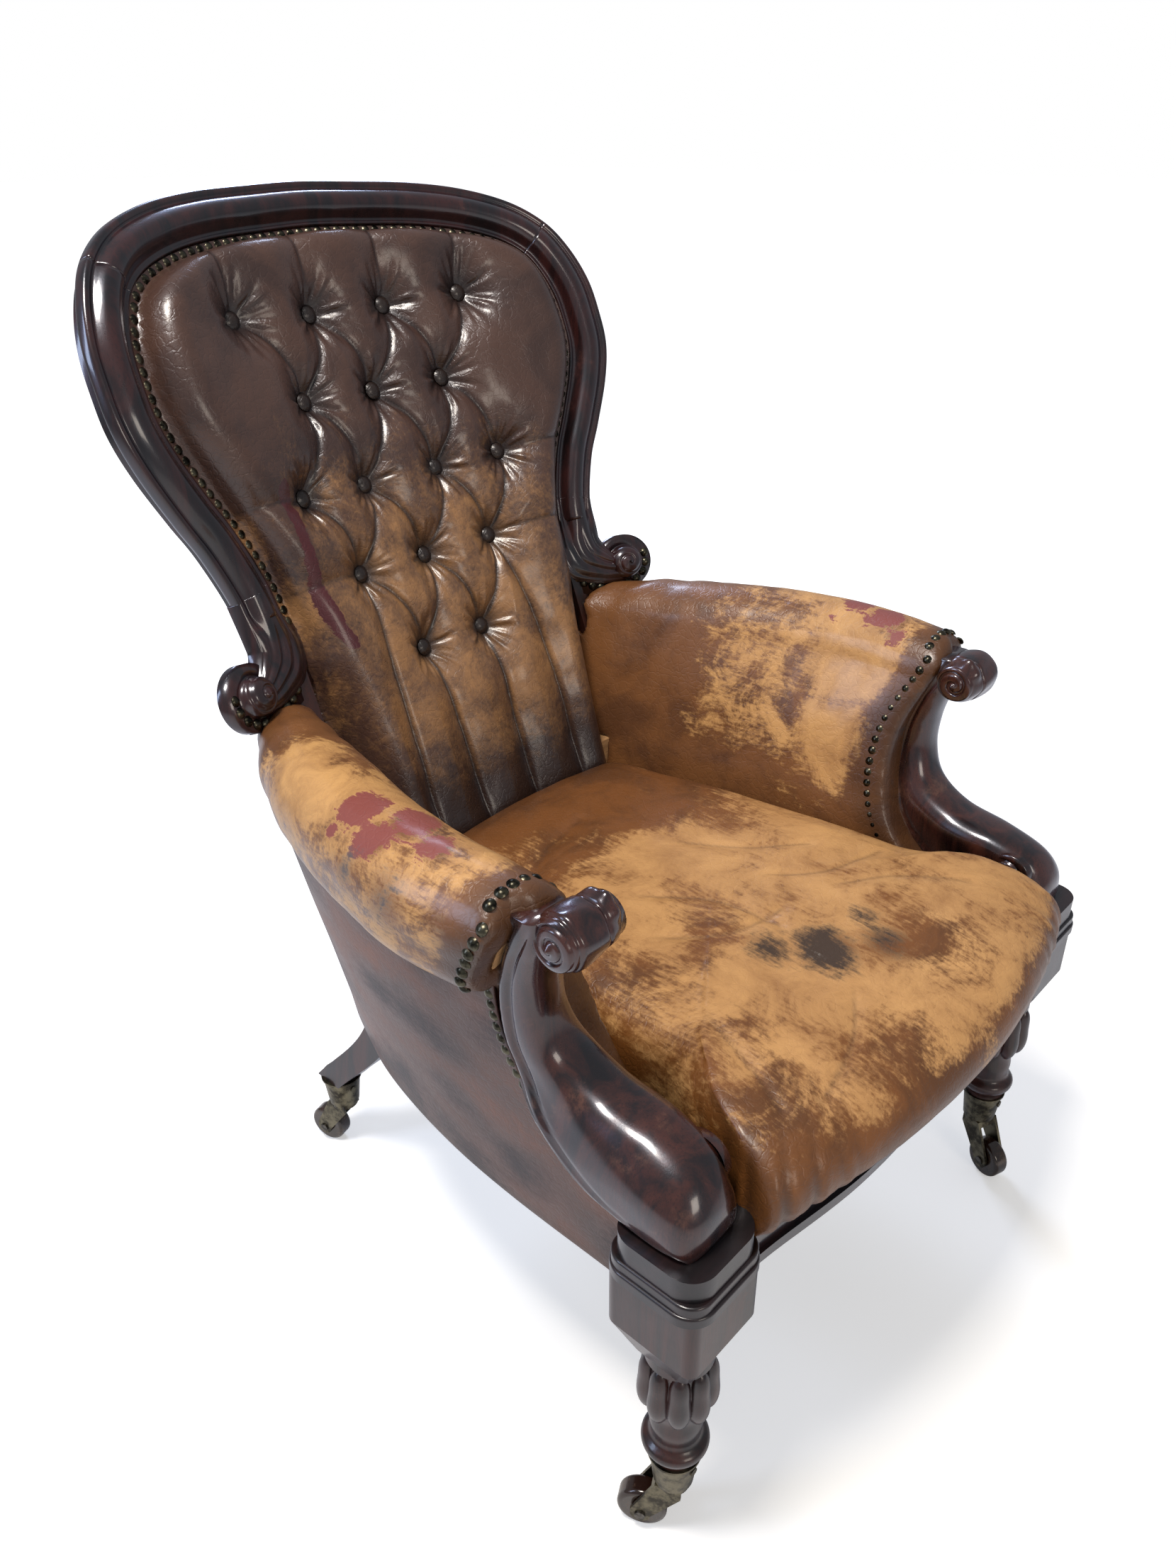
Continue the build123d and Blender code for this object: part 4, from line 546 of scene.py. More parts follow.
def makeFrame():
    line, inward, whole = outlineFrames(outlineSteps)
    joints = [int(np.argmin(np.linalg.norm(line - np.array(whole[k]), axis=1)))
              for k in (crestJoint["point"], len(whole) - 1 - crestJoint["point"])]
    for name, node, first, last, count in (
            ("stileMoulding_left", "back_stile_left", crestJoint["stileFrom"], joints[0],
             crestJoint["stileSections"]),
            ("crestMoulding", "crest_rail", joints[0], joints[1], crestJoint["crestSections"]),
            ("stileMoulding_right", "back_stile_right", joints[1],
             outlineSteps - 1 - crestJoint["stileFrom"], crestJoint["stileSections"])):
        gap = crestJoint["gap"] * (node == "crest_rail")
        at = np.linspace(first + gap, last - gap, count)
        pick = np.arange(len(line))
        sweepMoulding(name, node, np.stack([np.interp(at, pick, line[:, k]) for k in (0, 1)], 1),
                      np.stack([np.interp(at, pick, inward[:, k]) for k in (0, 1)], 1))
    for name, side in sides.items():
        makeScroll(name, side)


makeFrame()


facing = {"middleX": 268.0, "reach": 178.0, "height": 224.0, "backY": -163.0, "footZ": 355.4,
          "stations": 170, "around": 96, "panelX": (283.0, 380.0, 0.09), "proud": 4.0, "kneeZ": (440, 385),
          "groove": 1.9, "volute": (0.312, 0.915), "voluteRadius": 22.5, "voluteHalf": 28.0, "voluteOut": 4.0,
          "voluteSteps": 70, "leafTurn": 1.9, "leafLift": 6.0, "leafRibs": 9, "discIn": 1.5,
          "leafAt": (-0.62, 0.22), "squareness": (2.5, 5.0),
          # rings cut round the knob: where along it, depth in mm and width, then its flutes
          "knobRings": [(-0.28, -1.7, 0.05), (0.74, -1.5, 0.05)], "knobFlutes": (6, 0.7),
          "lowVolute": (0.80, 0.165), "lowRadius": 21.0, "lowIn": 31.5,
          # the leather's edge behind it, in shares of its reach and height from the top down
          "back": [(0.150, 0.985), (0.10, 0.875), (0.03, 0.74), (0.0, 0.60), (0.014, 0.44), (0.124, 0.22),
                   (0.354, 0.06), (0.624, 0.0)],
          # each section's front and back in the same shares, from the top down, and its half width in mm
          "sections": [((0.262, 0.975), (0.120, 0.975), 19), ((0.240, 0.86), (0.052, 0.87), 21),
                       ((0.212, 0.79), (0.006, 0.78), 22), ((0.182, 0.68), (-0.036, 0.66), 22.5),
                       ((0.186, 0.54), (-0.052, 0.54), 23), ((0.265, 0.41), (-0.030, 0.40), 25.5),
                       ((0.45, 0.335), (0.085, 0.20), 29), ((0.70, 0.300), (0.225, 0.105), 32.5),
                       ((0.895, 0.240), (0.400, 0.030), 34.5), ((0.985, 0.145), (0.61, 0.0), 34.5),
                       ((0.998, 0.05), (0.80, 0.0), 33), ((0.985, 0.0), (0.93, 0.0), 27)],
          # ridges and grooves along its sides: height, distance from the back and width, in mm
          "carving": [(1.1, 3.0, 2.2), (-1.9, 8.0, 2.0), (1.2, 14.0, 4.0), (-1.0, 20.5, 2.0)]}


def facingFlat(share):
    return np.array([facing["backY"] - share[0] * facing["reach"],
                     facing["footZ"] + share[1] * facing["height"]])


def facingBackAt(z):
    # where the leather's edge behind the facing is at each height
    line = smoothLine([facingFlat(share) for share in facing["back"]], 60)[::-1]
    return np.interp(z, line[:, 1], line[:, 0])


spiral = {"rings": 40, "around": 90, "groove": 2.6, "grooveWidth": 0.15, "grooveFrom": 0.16,
          "eyeLift": 3.2, "eyeWidth": 0.17, "rimDrop": 7}


def scrollDisc(centre, radius, x, out, height, turns):
    # a carved spiral seen end on: a coil that rises to its eye
    rings, around = spiral["rings"], spiral["around"]
    angle = np.linspace(0, 2 * np.pi, around, endpoint=False)
    points = []
    for share in np.linspace(0.02, 1, rings):
        coil = (share * turns - out * angle / (2 * np.pi)) % 1
        groove = bell(coil - 0.5, spiral["grooveWidth"]) * (share > spiral["grooveFrom"])
        depth = height * (1 - share ** 2) ** 0.6 * 0.7 - spiral["groove"] * groove
        depth = (depth + spiral["eyeLift"] * bell(share, spiral["eyeWidth"])
                 - spiral["rimDrop"] * (share > 0.985))
        r = share * radius
        points.append(np.column_stack([x + out * depth, centre[0] + r * np.cos(angle),
                                       centre[1] + r * np.sin(angle)]))
    return np.vstack(points), gridFaces(rings, around, closed=True) + [tuple(range(around))]


def makeFacing(name, side):
    table = np.array([(*facingFlat(f), *facingFlat(b), w) for f, b, w in facing["sections"]])
    fine = smoothLine(table, facing["stations"])
    around, middleX = facing["around"], facing["middleX"]
    turn = np.linspace(0, 2 * np.pi, around, endpoint=False)
    # c runs from the back (-1) to the front (+1); the back is squarer than the front
    c, w = np.cos(turn), np.sin(turn)
    power = np.where(c > 0, *facing["squareness"])
    size = (np.abs(c) ** power + np.abs(w) ** power) ** (-1 / power)
    along, across = c * size, w * size
    points = []
    for k, (fy, fz, by, bz, half) in enumerate(fine):
        t = k / (len(fine) - 1)
        forward = np.array([fy - by, fz - bz])
        depth = np.linalg.norm(forward)
        forward /= max(depth, 1e-6)
        # a lip and a groove beside the nails, then the round of the scroll
        fromBack = (along + 1) * depth / 2
        carve = sum(rise * bell(fromBack - at, wide) for rise, at, wide in facing["carving"])
        carve = (facing["groove"] * carve * smoothStep(0.0, 0.06, t) * smoothStep(0.92, 0.70, t)
                 * np.abs(w) ** 0.5)
        y = (fy + by) / 2 + along * depth / 2 * forward[0]
        z = (fz + bz) / 2 + along * depth / 2 * forward[1]
        # the neck leans out with the side panel, and the knee stands over the middle of the leg
        panelX, panelZ, slope = facing["panelX"]
        leaning = panelX + slope * (z - panelZ) + facing["proud"] - half
        upright = smoothStep(*facing["kneeZ"], z)
        x = leaning * (1 - upright) + middleX * upright + (half + carve) * across
        points.append(np.column_stack([x, y, np.maximum(z, facing["footZ"])]))
    count = len(fine)
    points = np.vstack(points)
    faces = gridFaces(count, around, closed=True) + capFaces(0, (count - 1) * around, around)

    # the top volute: a knob across the arm, fullest at its outer end, with a leaf turned over its inner end
    centre, radius = facingFlat(facing["volute"]), facing["voluteRadius"]
    knobX = middleX + facing["voluteOut"]
    knob = []
    for x in np.linspace(-1, 1, facing["voluteSteps"]):
        swell = radius * (0.98 + 0.10 * x - 0.14 * x ** 2) * (1 - np.abs(x) ** 9) ** 0.5
        fromTip = turn - facing["leafTurn"]
        leafX, leafWidth = facing["leafAt"]
        leaf = facing["leafLift"] * bell(x - leafX, leafWidth) * bell(np.angle(np.exp(1j * fromTip)), 0.75)
        leaf = leaf * (1 + 0.22 * np.cos(facing["leafRibs"] * fromTip))
        ridge = sum(rise * bell(x - at, wide) for at, rise, wide in facing["knobRings"])
        flutes = facing["knobFlutes"][1] * np.cos(facing["knobFlutes"][0] * turn + 2.5 * x) * (1 - x ** 2)
        r = np.maximum(swell + leaf + ridge + flutes, 0.4)
        knob.append(np.column_stack([np.full(around, knobX + facing["voluteHalf"] * x),
                                     centre[0] + r * np.cos(turn), centre[1] + r * np.sin(turn)]))
    parts = [(np.vstack(knob), gridFaces(len(knob), around, closed=True))]
    inset = facing["voluteHalf"] - facing["discIn"]
    parts += [scrollDisc(*disc) for disc in (
        (centre, radius - 5.0, knobX - inset, -1, 4.5, 1.8),
        (centre, radius - 4.0, knobX + inset, 1, 4.5, 2.0),
        (facingFlat(facing["lowVolute"]), facing["lowRadius"], middleX - facing["lowIn"], -1, 6.0, 1.9))]
    for morePoints, moreFaces in parts:
        faces += shifted(moreFaces, len(points))
        points = np.vstack([points, morePoints])
    addPiece("armFacingCarved_" + name, points * [side, 1, 1], sided(faces, side), "kneeMahogany",
             ["arm_facing_" + name])


for name, side in sides.items():
    makeFacing(name, side)
print("carved wood made")


# Deep-buttoned back pad

pad = {"crown": [(-300, 42), (-190, 48), (-100, 51), (-20, 49), (60, 47), (150, 46), (240, 44), (310, 40),
                 (360, 36)],
       "foot": [(150, -290), (153, -190), (159, -100), (165, -48), (172, -14)], "cornerV": 318,
       "rowHeights": (286, 210, 127, 49, -36), "rowLifts": (11.2, 14.4, 16.0, 16.0, 20.8),
       "rowPlaces": ((44, 134), (0, 85), (46, 125), (0, 85), (40,)),
       "edgeLift": 1.4, "rollWidth": 34, "pleatBow": 0.085, "pleatDepth": 7.0, "valleyDepth": 8.0,
       "overhang": 8.0, "roundBottom": 8.0, "edgeReach": 44, "waves": (2.4, 0.7), "folds": 1.15,
       "tan": {"strength": 0.66, "height": (270, 30), "sides": (260, 80), "foot": (-250, -90)},
       "darkerToFoot": (0.78, -80, -240), "tuck": 11.0, "pleatFoot": -295, "pull": 21.0,
       "foldReach": (21, 11), "pit": 18.0, "behind": -14.0, "columns": 250, "rows": 330,
       # a pleat falls off steeply on one side and gently on the other, and is cut less near the foot
       "pleatSides": (2.6, 6.0), "pleatLine": 1.9, "valleyWidth": 20, "pleatsEase": (-170, -265),
       "overhangFrom": (250, 330), "button": 6.0, "puckers": ((9, 1.0), (14, 0.8), (21, 0.6)),
       "closedTo": (0.0, 20.0), "closedShare": (0.90, 0.93)}


def buttonPlaces():
    spots = []
    for v, lift, places in zip(pad["rowHeights"], pad["rowLifts"], pad["rowPlaces"]):
        spots.append(sorted({(side * u, v, lift) for u in places for side in (1, -1)}))
    return spots


def bowedPleat(start, end, bow):
    # a pleat between two places, bowed to its right as the folded leather lies
    a, b = np.array(start[:2], float), np.array(end[:2], float)
    run = b - a
    side = np.array([-run[1], run[0]])
    side *= 1 if side[0] > 0 else -1
    t = np.linspace(0, 1, 9)[:, None]
    return a + t * run + side * bow * 4 * t * (1 - t)


def padPleats(rows):
    # each pleat's line and how deep it is
    lines, foot = [], pad["pleatFoot"]
    for upper, lower in zip(rows, rows[1:]):
        for spot in upper:
            for other in lower:
                if abs(other[0] - spot[0]) < 100:
                    lines.append((bowedPleat(spot, other, pad["pleatBow"]), 1.0))
    for u, v, _ in rows[0]:
        lines.append((smoothLine([(u, v), (u * 1.02, v + 35), (u * 1.06, 372)], 9), 0.8))
    for row, reach in ((rows[2], 233), (rows[3], 205)):
        for side in (1, -1):
            u, v = row[-1][0] * side, row[-1][1]
            lines.append((smoothLine([(u, v), (0.5 * (u + side * reach), v + 2), (side * reach, v - 1)], 9),
                          0.55))
    for u, v, _ in rows[4]:
        lines.append((smoothLine([(u, v), (u * 0.92, v - 120), (u * 0.9, foot)], 14), 1.0))
    for side in (1, -1):
        u, v = rows[3][-1][0] * side, rows[3][-1][1]
        lines.append((smoothLine([(u, v), (side * 100, v - 90), (side * 104, v - 200), (side * 102, foot)],
                                 14), 0.9))
    return lines


def makeBackPad():
    rows, columns = pad["rows"], pad["columns"]
    line, inside, _ = outlineFrames(401)
    edge = (line + (back["frameWidth"] - pad["tuck"]) * inside)[:201]
    side = smoothLine(pad["foot"] + [tuple(p) for p in edge[12::14]], 900)
    side[-1, 0] = 0
    cornerAt = int(np.argmax(side[:, 1] > pad["cornerV"]))
    right = smoothLine(side[:cornerAt + 1][::8], rows)
    topHalf = smoothLine(np.vstack([side[cornerAt:][::8], side[-1]]), columns // 2)
    top = smoothLine(np.vstack([topHalf * [-1, 1], topHalf[::-1][1:]])[::4], columns)
    left = right * [-1, 1]
    bottom = np.stack([np.linspace(left[0, 0], right[0, 0], columns),
                       np.full(columns, right[0, 1])], 1)
    s, t = np.meshgrid(np.linspace(0, 1, columns), np.linspace(0, 1, rows))
    s, t = s[..., None], t[..., None]
    flat = ((1 - t) * bottom[None] + t * top[None] + (1 - s) * left[:, None] + s * right[:, None]
            - ((1 - s) * (1 - t) * bottom[0] + s * (1 - t) * bottom[-1] + (1 - s) * t * top[0]
               + s * t * top[-1]))
    places = flat.reshape(-1, 2)
    u, v = places.T

    border = np.vstack([left, top[1:-1], right[::-1]])
    inward, _, _, outward = lineDistance(places, border[::5])
    onFrame = smoothStep(-20, 20, v)
    inside = np.maximum(inward - pad["roundBottom"] * onFrame, 0)
    crown = np.interp(v, *zip(*pad["crown"])) * (1 - 0.10 * (u / 230) ** 2)
    swell = np.clip(inside / pad["rollWidth"], 0, 1)
    rise = np.sqrt(1 - (1 - swell) ** 2.3)
    low = pad["edgeLift"] * onFrame + pad["behind"] * (1 - onFrame)
    lift = low + (crown - low) * rise

    # the stuffed edge leans out over its nails, most along the top
    lean = pad["overhang"] * (0.55 + 0.45 * smoothStep(*pad["overhangFrom"], v)) * onFrame
    lean = lean * np.sin(np.pi * np.clip(inside / pad["edgeReach"], 0, 1)) ** 0.8
    outward = unit(outward, 1e-9)

    crease = np.zeros(len(places))
    buttons = [spot for row in buttonPlaces() for spot in row]
    nearest = np.full(len(places), 1e9)
    for x, y, _ in buttons:
        nearest = np.minimum(nearest, np.hypot(u - x, v - y))
    cut = np.zeros(len(places))
    for line, depth in padPleats(buttonPlaces()):
        gap, _, side, _ = lineDistance(places, line)
        near = np.sqrt(gap ** 2 + 0.5)
        steep = np.where(side > 0, *pad["pleatSides"])
        cut = np.maximum(cut, depth * (pad["pleatDepth"] * np.exp(-near / steep)
                                       + pad["valleyDepth"] * bell(gap, pad["valleyWidth"])))
        # painted shade: dark along each pleat's fold line
        crease = np.maximum(crease, depth * 0.92 * bell(gap, pad["pleatLine"]))
    lift -= cut * rise * (1 - 0.65 * smoothStep(*pad["pleatsEase"], v))
    for x, y, seat in buttons:
        reach = np.hypot(u - x, v - y)
        angle = np.arctan2(v - y, u - x)
        folds = sum(share * np.sin(count * angle + shift) for (count, share), shift in
                    zip(pad["puckers"], (x, 2 * y, -x)))
        pull = 1 - np.exp(-(np.maximum(reach - pad["button"], 0) / pad["pull"]) ** 1.2)
        lift = (seat - 0.5) + (lift - seat + 0.5) * pull
        near = bell(reach - pad["foldReach"][0], pad["foldReach"][1])
        lift += pad["folds"] * folds * near * rise
        # painted shade: dark in the pit round each button and in the puckers beside it
        crease = np.maximum(crease, 0.98 * np.exp(-(reach / pad["pit"]) ** 3))
        crease = np.maximum(crease, 0.45 * np.clip(-folds, 0, 1) * bell(reach - 17, 10))

    # soft waves, so that no two diamonds are alike
    wave = np.array([noise.noise(Vector((a / 55, b / 55, 3.1))) for a, b in places])
    small = np.array([noise.noise(Vector((a / 17, b / 21, 9.4))) for a, b in places])
    lift += (pad["waves"][0] * wave + pad["waves"][1] * small) * rise * np.clip(inside / 30, 0, 1)
    moved = places + outward * lean[:, None]
    front = backPoint(moved[:, 0], moved[:, 1], lift)

    # closed behind with a shallow ring and a fan
    ringIndex = ([r * columns for r in range(rows)] + [(rows - 1) * columns + c for c in range(1, columns)]
                 + [r * columns + columns - 1 for r in range(rows - 2, -1, -1)]
                 + [c for c in range(columns - 2, 0, -1)])
    ringFlat = places[ringIndex]
    middle = np.array([pad["closedTo"]])
    shrunk = middle + (ringFlat - middle) * pad["closedShare"]
    behind = backPoint(shrunk[:, 0], shrunk[:, 1], np.full(len(shrunk), pad["behind"]))
    centre = backPoint(middle[:, 0], middle[:, 1], np.array([pad["behind"]]))
    points = np.vstack([front, behind, centre])
    faces = gridFaces(rows, columns)
    base = len(front)
    count = len(ringIndex)
    for k in range(count):
        j = (k + 1) % count
        faces.append((ringIndex[j], ringIndex[k], base + k, base + j))
        faces.append((base + j, base + k, base + count))
    piece = addPiece("buttonedBack", points, faces, "leather_back", ["back_pad"])
    extra = np.zeros(count + 1)
    q = points[:base]
    tan = pad["tan"]
    worn = (tan["strength"] * smoothStep(*tan["height"], v) * smoothStep(*tan["sides"], np.abs(u + 0.1 * v))
            * smoothStep(*tan["foot"], v))
    # darker towards the foot of the pad, where it meets the seat
    crease = np.maximum(crease, pad["darkerToFoot"][0] * smoothStep(*pad["darkerToFoot"][1:], v))
    worn = np.maximum(worn, blobs(q, pad["wornSpots"]))
    torn = pad["tear"]["strength"] * (1 - lineDistance(places, smoothLine(pad["tear"]["line"], 14))[0]
                                      / pad["tear"]["width"])
    paint(piece, crease=np.concatenate([np.clip(crease, 0, 1), extra]),
          worn=np.concatenate([worn, extra]),
          dark=np.concatenate([blobs(q, pad["darkSpots"]), extra]),
          red=np.concatenate([np.clip(torn, 0, 1), extra]))


pad["wornSpots"] = [(-170, 215, 640, 60, 0.75), (-196, 255, 700, 48, 0.8), (150, 260, 700, 70, 0.65)]
pad["darkSpots"] = [(-215, 300, 800, 85, 0.56), (-190, 290, 750, 60, 0.5)]
pad["tear"] = {"line": [(-162, 138), (-160, 112), (-158, 80), (-156, 46), (-152, 16), (-148, -6)],
               "width": 15.0, "strength": 0.86}
makeBackPad()
print("back pad made")


# Pieces shaped from their solids: a finer even mesh, eased, then worked one by one

def readVectors(parts, key):
    values = np.zeros(len(parts) * 3, np.float32)
    parts.foreach_get(key, values)
    return values.reshape(-1, 3).astype(float)


def softCopy(node, name, voxel, easing):
    mesh = nodes[node].data.copy()
    piece = addObject(name + "Blank", mesh)
    welded = bmesh.new()
    welded.from_mesh(mesh)
    bmesh.ops.remove_doubles(welded, verts=welded.verts, dist=0.0001)
    welded.to_mesh(mesh)
    welded.free()
    remesh = piece.modifiers.new("even", "REMESH")
    remesh.mode = "VOXEL"
    remesh.voxel_size = voxel * mm
    ease = piece.modifiers.new("ease", "SMOOTH")
    ease.factor = 0.5
    ease.iterations = easing
    bpy.context.view_layer.update()
    shaped = bpy.data.meshes.new_from_object(piece.evaluated_get(bpy.context.evaluated_depsgraph_get()))
    bpy.data.objects.remove(piece)
    points = readVectors(shaped.vertices, "co") / mm
    normals = readVectors(shaped.vertex_normals, "vector")
    faces = [tuple(f.vertices) for f in shaped.polygons]
    bpy.data.meshes.remove(shaped)
    return points, normals, faces


def softNoise(points, size, seed):
    return np.array([noise.noise(Vector((x / size + seed, y / size, z / size))) for x, y, z in points])


arm = {"voxel": 4.0, "easing": 8, "reach": 9.0, "reachFrom": (26, 4), "reachSides": (302, 286),
       "swell": 1.6, "wave": 1.4, "ripple": 0.35, "folds": 0.9, "foldPitch": 9,
       "rubbed": (0.52, 110, 10), "dyedEnd": (38, 10), "darkerToSeat": (0.6, 345, 318),
       # spots of wear: side, place, radius and strength
       "worn": [(-1, -300, 60, 588, 120, 1.0), (-1, -290, -30, 590, 110, 0.95),
                (-1, -265, -130, 585, 90, 0.9), (-1, -230, -60, 500, 80, 0.5),
                (-1, -262, 70, 560, 90, 0.8), (1, 285, -90, 590, 110, 1.0),
                (1, 240, -110, 560, 120, 1.0), (1, 225, -120, 480, 110, 1.0), (1, 300, -20, 590, 90, 0.9),
                (1, 215, -80, 420, 60, 0.6)],
       "red": [(-1, -300, -30, 590, 52, 0.82), (-1, -288, -75, 592, 54, 0.80), (-1, -312, -62, 584, 46, 0.78),
               (-1, -296, -112, 589, 44, 0.72), (-1, -318, -20, 578, 30, 0.66), (1, 285, -120, 592, 50, 0.84),
               (1, 300, -85, 591, 44, 0.80), (1, 262, -140, 588, 36, 0.72), (1, 262, -72, 590, 20, 0.72)],
       "dark": [(-1, -334, -50, 562, 60, 0.54), (-1, -335, -100, 560, 64, 0.56),
                (-1, -334, -150, 566, 52, 0.54),
                (-1, -330, -180, 560, 34, 0.5), (1, 250, -60, 585, 16, 0.6), (1, 245, -45, 582, 18, 0.6),
                (1, 245, -178, 500, 26, 0.6), (1, 250, -180, 540, 26, 0.56), (1, 228, -172, 450, 24, 0.56)]}


def makeArmRail(name):
    # the raw beech rail under the arm's leather, stopped at the facing's back all the way across
    mesh = nodes["arm_rail_" + name].data
    points = readVectors(mesh.vertices, "co") / mm
    points[:, 1] = np.maximum(points[:, 1], facingBackAt(points[:, 2]) + 0.5)
    addPiece("armRailEased_" + name, points, [tuple(f.vertices) for f in mesh.polygons], "rawBeech",
             ["arm_rail_" + name], smooth=False)


def makeArm(name, side):
    points, normals, faces = softCopy("arm_pad_" + name, "armPad_" + name, arm["voxel"], arm["easing"])
    y, z = points.T[1:]
    wave = softNoise(points, 60, 1.0 + side)
    small = softNoise(points * [1, 1, 0.6], 16, 4.0)
    # soft upright folds where the arm meets the back
    rear = smoothStep(40, 150, y)
    folds = np.sin(y / arm["foldPitch"] + 0.02 * z + 2 * wave) * rear * smoothStep(330, 430, z)
    points = points + normals * (arm["swell"] + arm["wave"] * wave + arm["ripple"] * small
                                 + arm["folds"] * folds)[:, None]

    # its front end reaches in behind the facing
    behind = points[:, 1] - facingBackAt(points[:, 2])
    points[:, 1] -= (arm["reach"] * smoothStep(*arm["reachFrom"], behind)
                     * smoothStep(*arm["reachSides"], np.abs(points[:, 0])))
    piece = addPiece("armPad_" + name, points, faces, "leather_arm", ["arm_pad_" + name])
    y, z = points.T[1:]
    worn, red, dark = [blobs(points, [s[1:] for s in arm[field] if s[0] == side]) for field in
                       ("worn", "red", "dark")]
    worn = np.maximum(worn, arm["rubbed"][0] * smoothStep(*arm["rubbed"][1:], y) * smoothStep(400, 470, z))
    # darker low down where the arm meets the seat and towards its back; the darker front end is the leather's
    # real dye
    crease = arm["darkerToSeat"][0] * smoothStep(*arm["darkerToSeat"][1:], z) + 0.25 * smoothStep(170, 200, y)
    edge = smoothStep(*arm["dyedEnd"], behind + 6 * wave)
    crease = np.maximum(crease, 0.50 * edge)
    worn = worn * (1 - 0.75 * edge)
    paint(piece, worn=worn, red=red, dark=dark, crease=np.clip(crease, 0, 0.8))


for name, side in sides.items():
    makeArm(name, side)
for name in sides:
    makeArmRail(name)
print("arm pads made")


# Seat: leather drawn over a sprung, stuffed dome, with gathers at its front corners

seat = {"levels": [(0.0, 0.0, 0.0, 0.0, 0.55), (0.22, 0.55, 0.0, 0.0, 0.80), (0.52, 1.0, 0.0, 0.0, 1.0),
                   (0.80, 0.62, 0.06, 0.02, 0.95), (0.94, -0.40, 0.20, 0.10, 0.80),
                   (1.0, -1.2, 0.40, 0.25, 0.70)],
        "base": 306.7, "height": 116.0, "frontY": -320.0, "overhang": 42.0, "bow": 38.0, "insetUnit": 110.0,
        "frontHalf": 238.0, "middleHalf": 200.0, "rearHalf": 148.0, "sideY": -232.0, "rearY": 112.0,
        "rearBow": 12.0, "dome": 7.0, "waves": (2.6, 0.7), "gathers": 2.2,
        "gatherAt": (222, 335), "gatherReach": 62,
        "rubbed": 0.64, "rubbedZ": (372, 402), "rubbedY": (10, -80), "dyedRear": (110, 50),
        "rubbedX": (225, 175), "centreY": -130.0, "rings": 46, "topRings": 60}


def arcPoints(a, b, c, count):
    # points on the arc through three flat points
    (ax, ay), (bx, by), (cx, cy) = a, b, c
    d = 2 * (ax * (by - cy) + bx * (cy - ay) + cx * (ay - by))
    ux = ((ax**2 + ay**2) * (by - cy) + (bx**2 + by**2) * (cy - ay) + (cx**2 + cy**2) * (ay - by)) / d
    uy = ((ax**2 + ay**2) * (cx - bx) + (bx**2 + by**2) * (ax - cx) + (cx**2 + cy**2) * (bx - ax)) / d
    start = math.atan2(ay - uy, ax - ux)
    half = (math.atan2(by - uy, bx - ux) - start + math.pi) % (2 * math.pi) - math.pi
    whole = (math.atan2(cy - uy, cx - ux) - start + math.pi) % (2 * math.pi) - math.pi
    if half * whole < 0:
        whole += math.copysign(2 * math.pi, half)
    radius = math.hypot(ax - ux, ay - uy)
    turns = [start + whole * k / count for k in range(count)]
    return [(ux + radius * math.cos(turn), uy + radius * math.sin(turn)) for turn in turns]


def seatRing(overhang, sideInset, rearInset, bow):
    sideIn = sideInset * seat["insetUnit"]
    front = seat["frontY"] - overhang * seat["overhang"]
    rear = seat["rearY"] - rearInset * seat["insetUnit"]
    fx, mx, bx = seat["frontHalf"] - sideIn, seat["middleHalf"] - sideIn, seat["rearHalf"] - sideIn
    my = max(seat["sideY"], front + 4)
    middle = (mx + (bx - mx) * 0.35, seat["sideY"] + (rear - seat["sideY"]) * 0.5)
    ring = arcPoints((-fx, front), (0, front - bow * seat["bow"]), (fx, front), 150)
    ring += [(fx + (mx - fx) * k / 30, front + (my - front) * k / 30) for k in range(30)]
    ring += arcPoints((mx, my), middle, (bx, rear), 90)
    ring += arcPoints((bx, rear), (0, rear + seat["rearBow"]), (-bx, rear), 110)
    ring += arcPoints((-bx, rear), (-middle[0], middle[1]), (-mx, my), 90)
    ring += [(-mx + (mx - fx) * k / 30, my + (front - my) * k / 30) for k in range(30)]
    return np.array(ring)


def easeRing(ring, times):
    # rounds the corners of a closed ring
    for _ in range(times):
        ring = 0.5 * ring + 0.25 * (np.roll(ring, 1, 0) + np.roll(ring, -1, 0))
    return ring


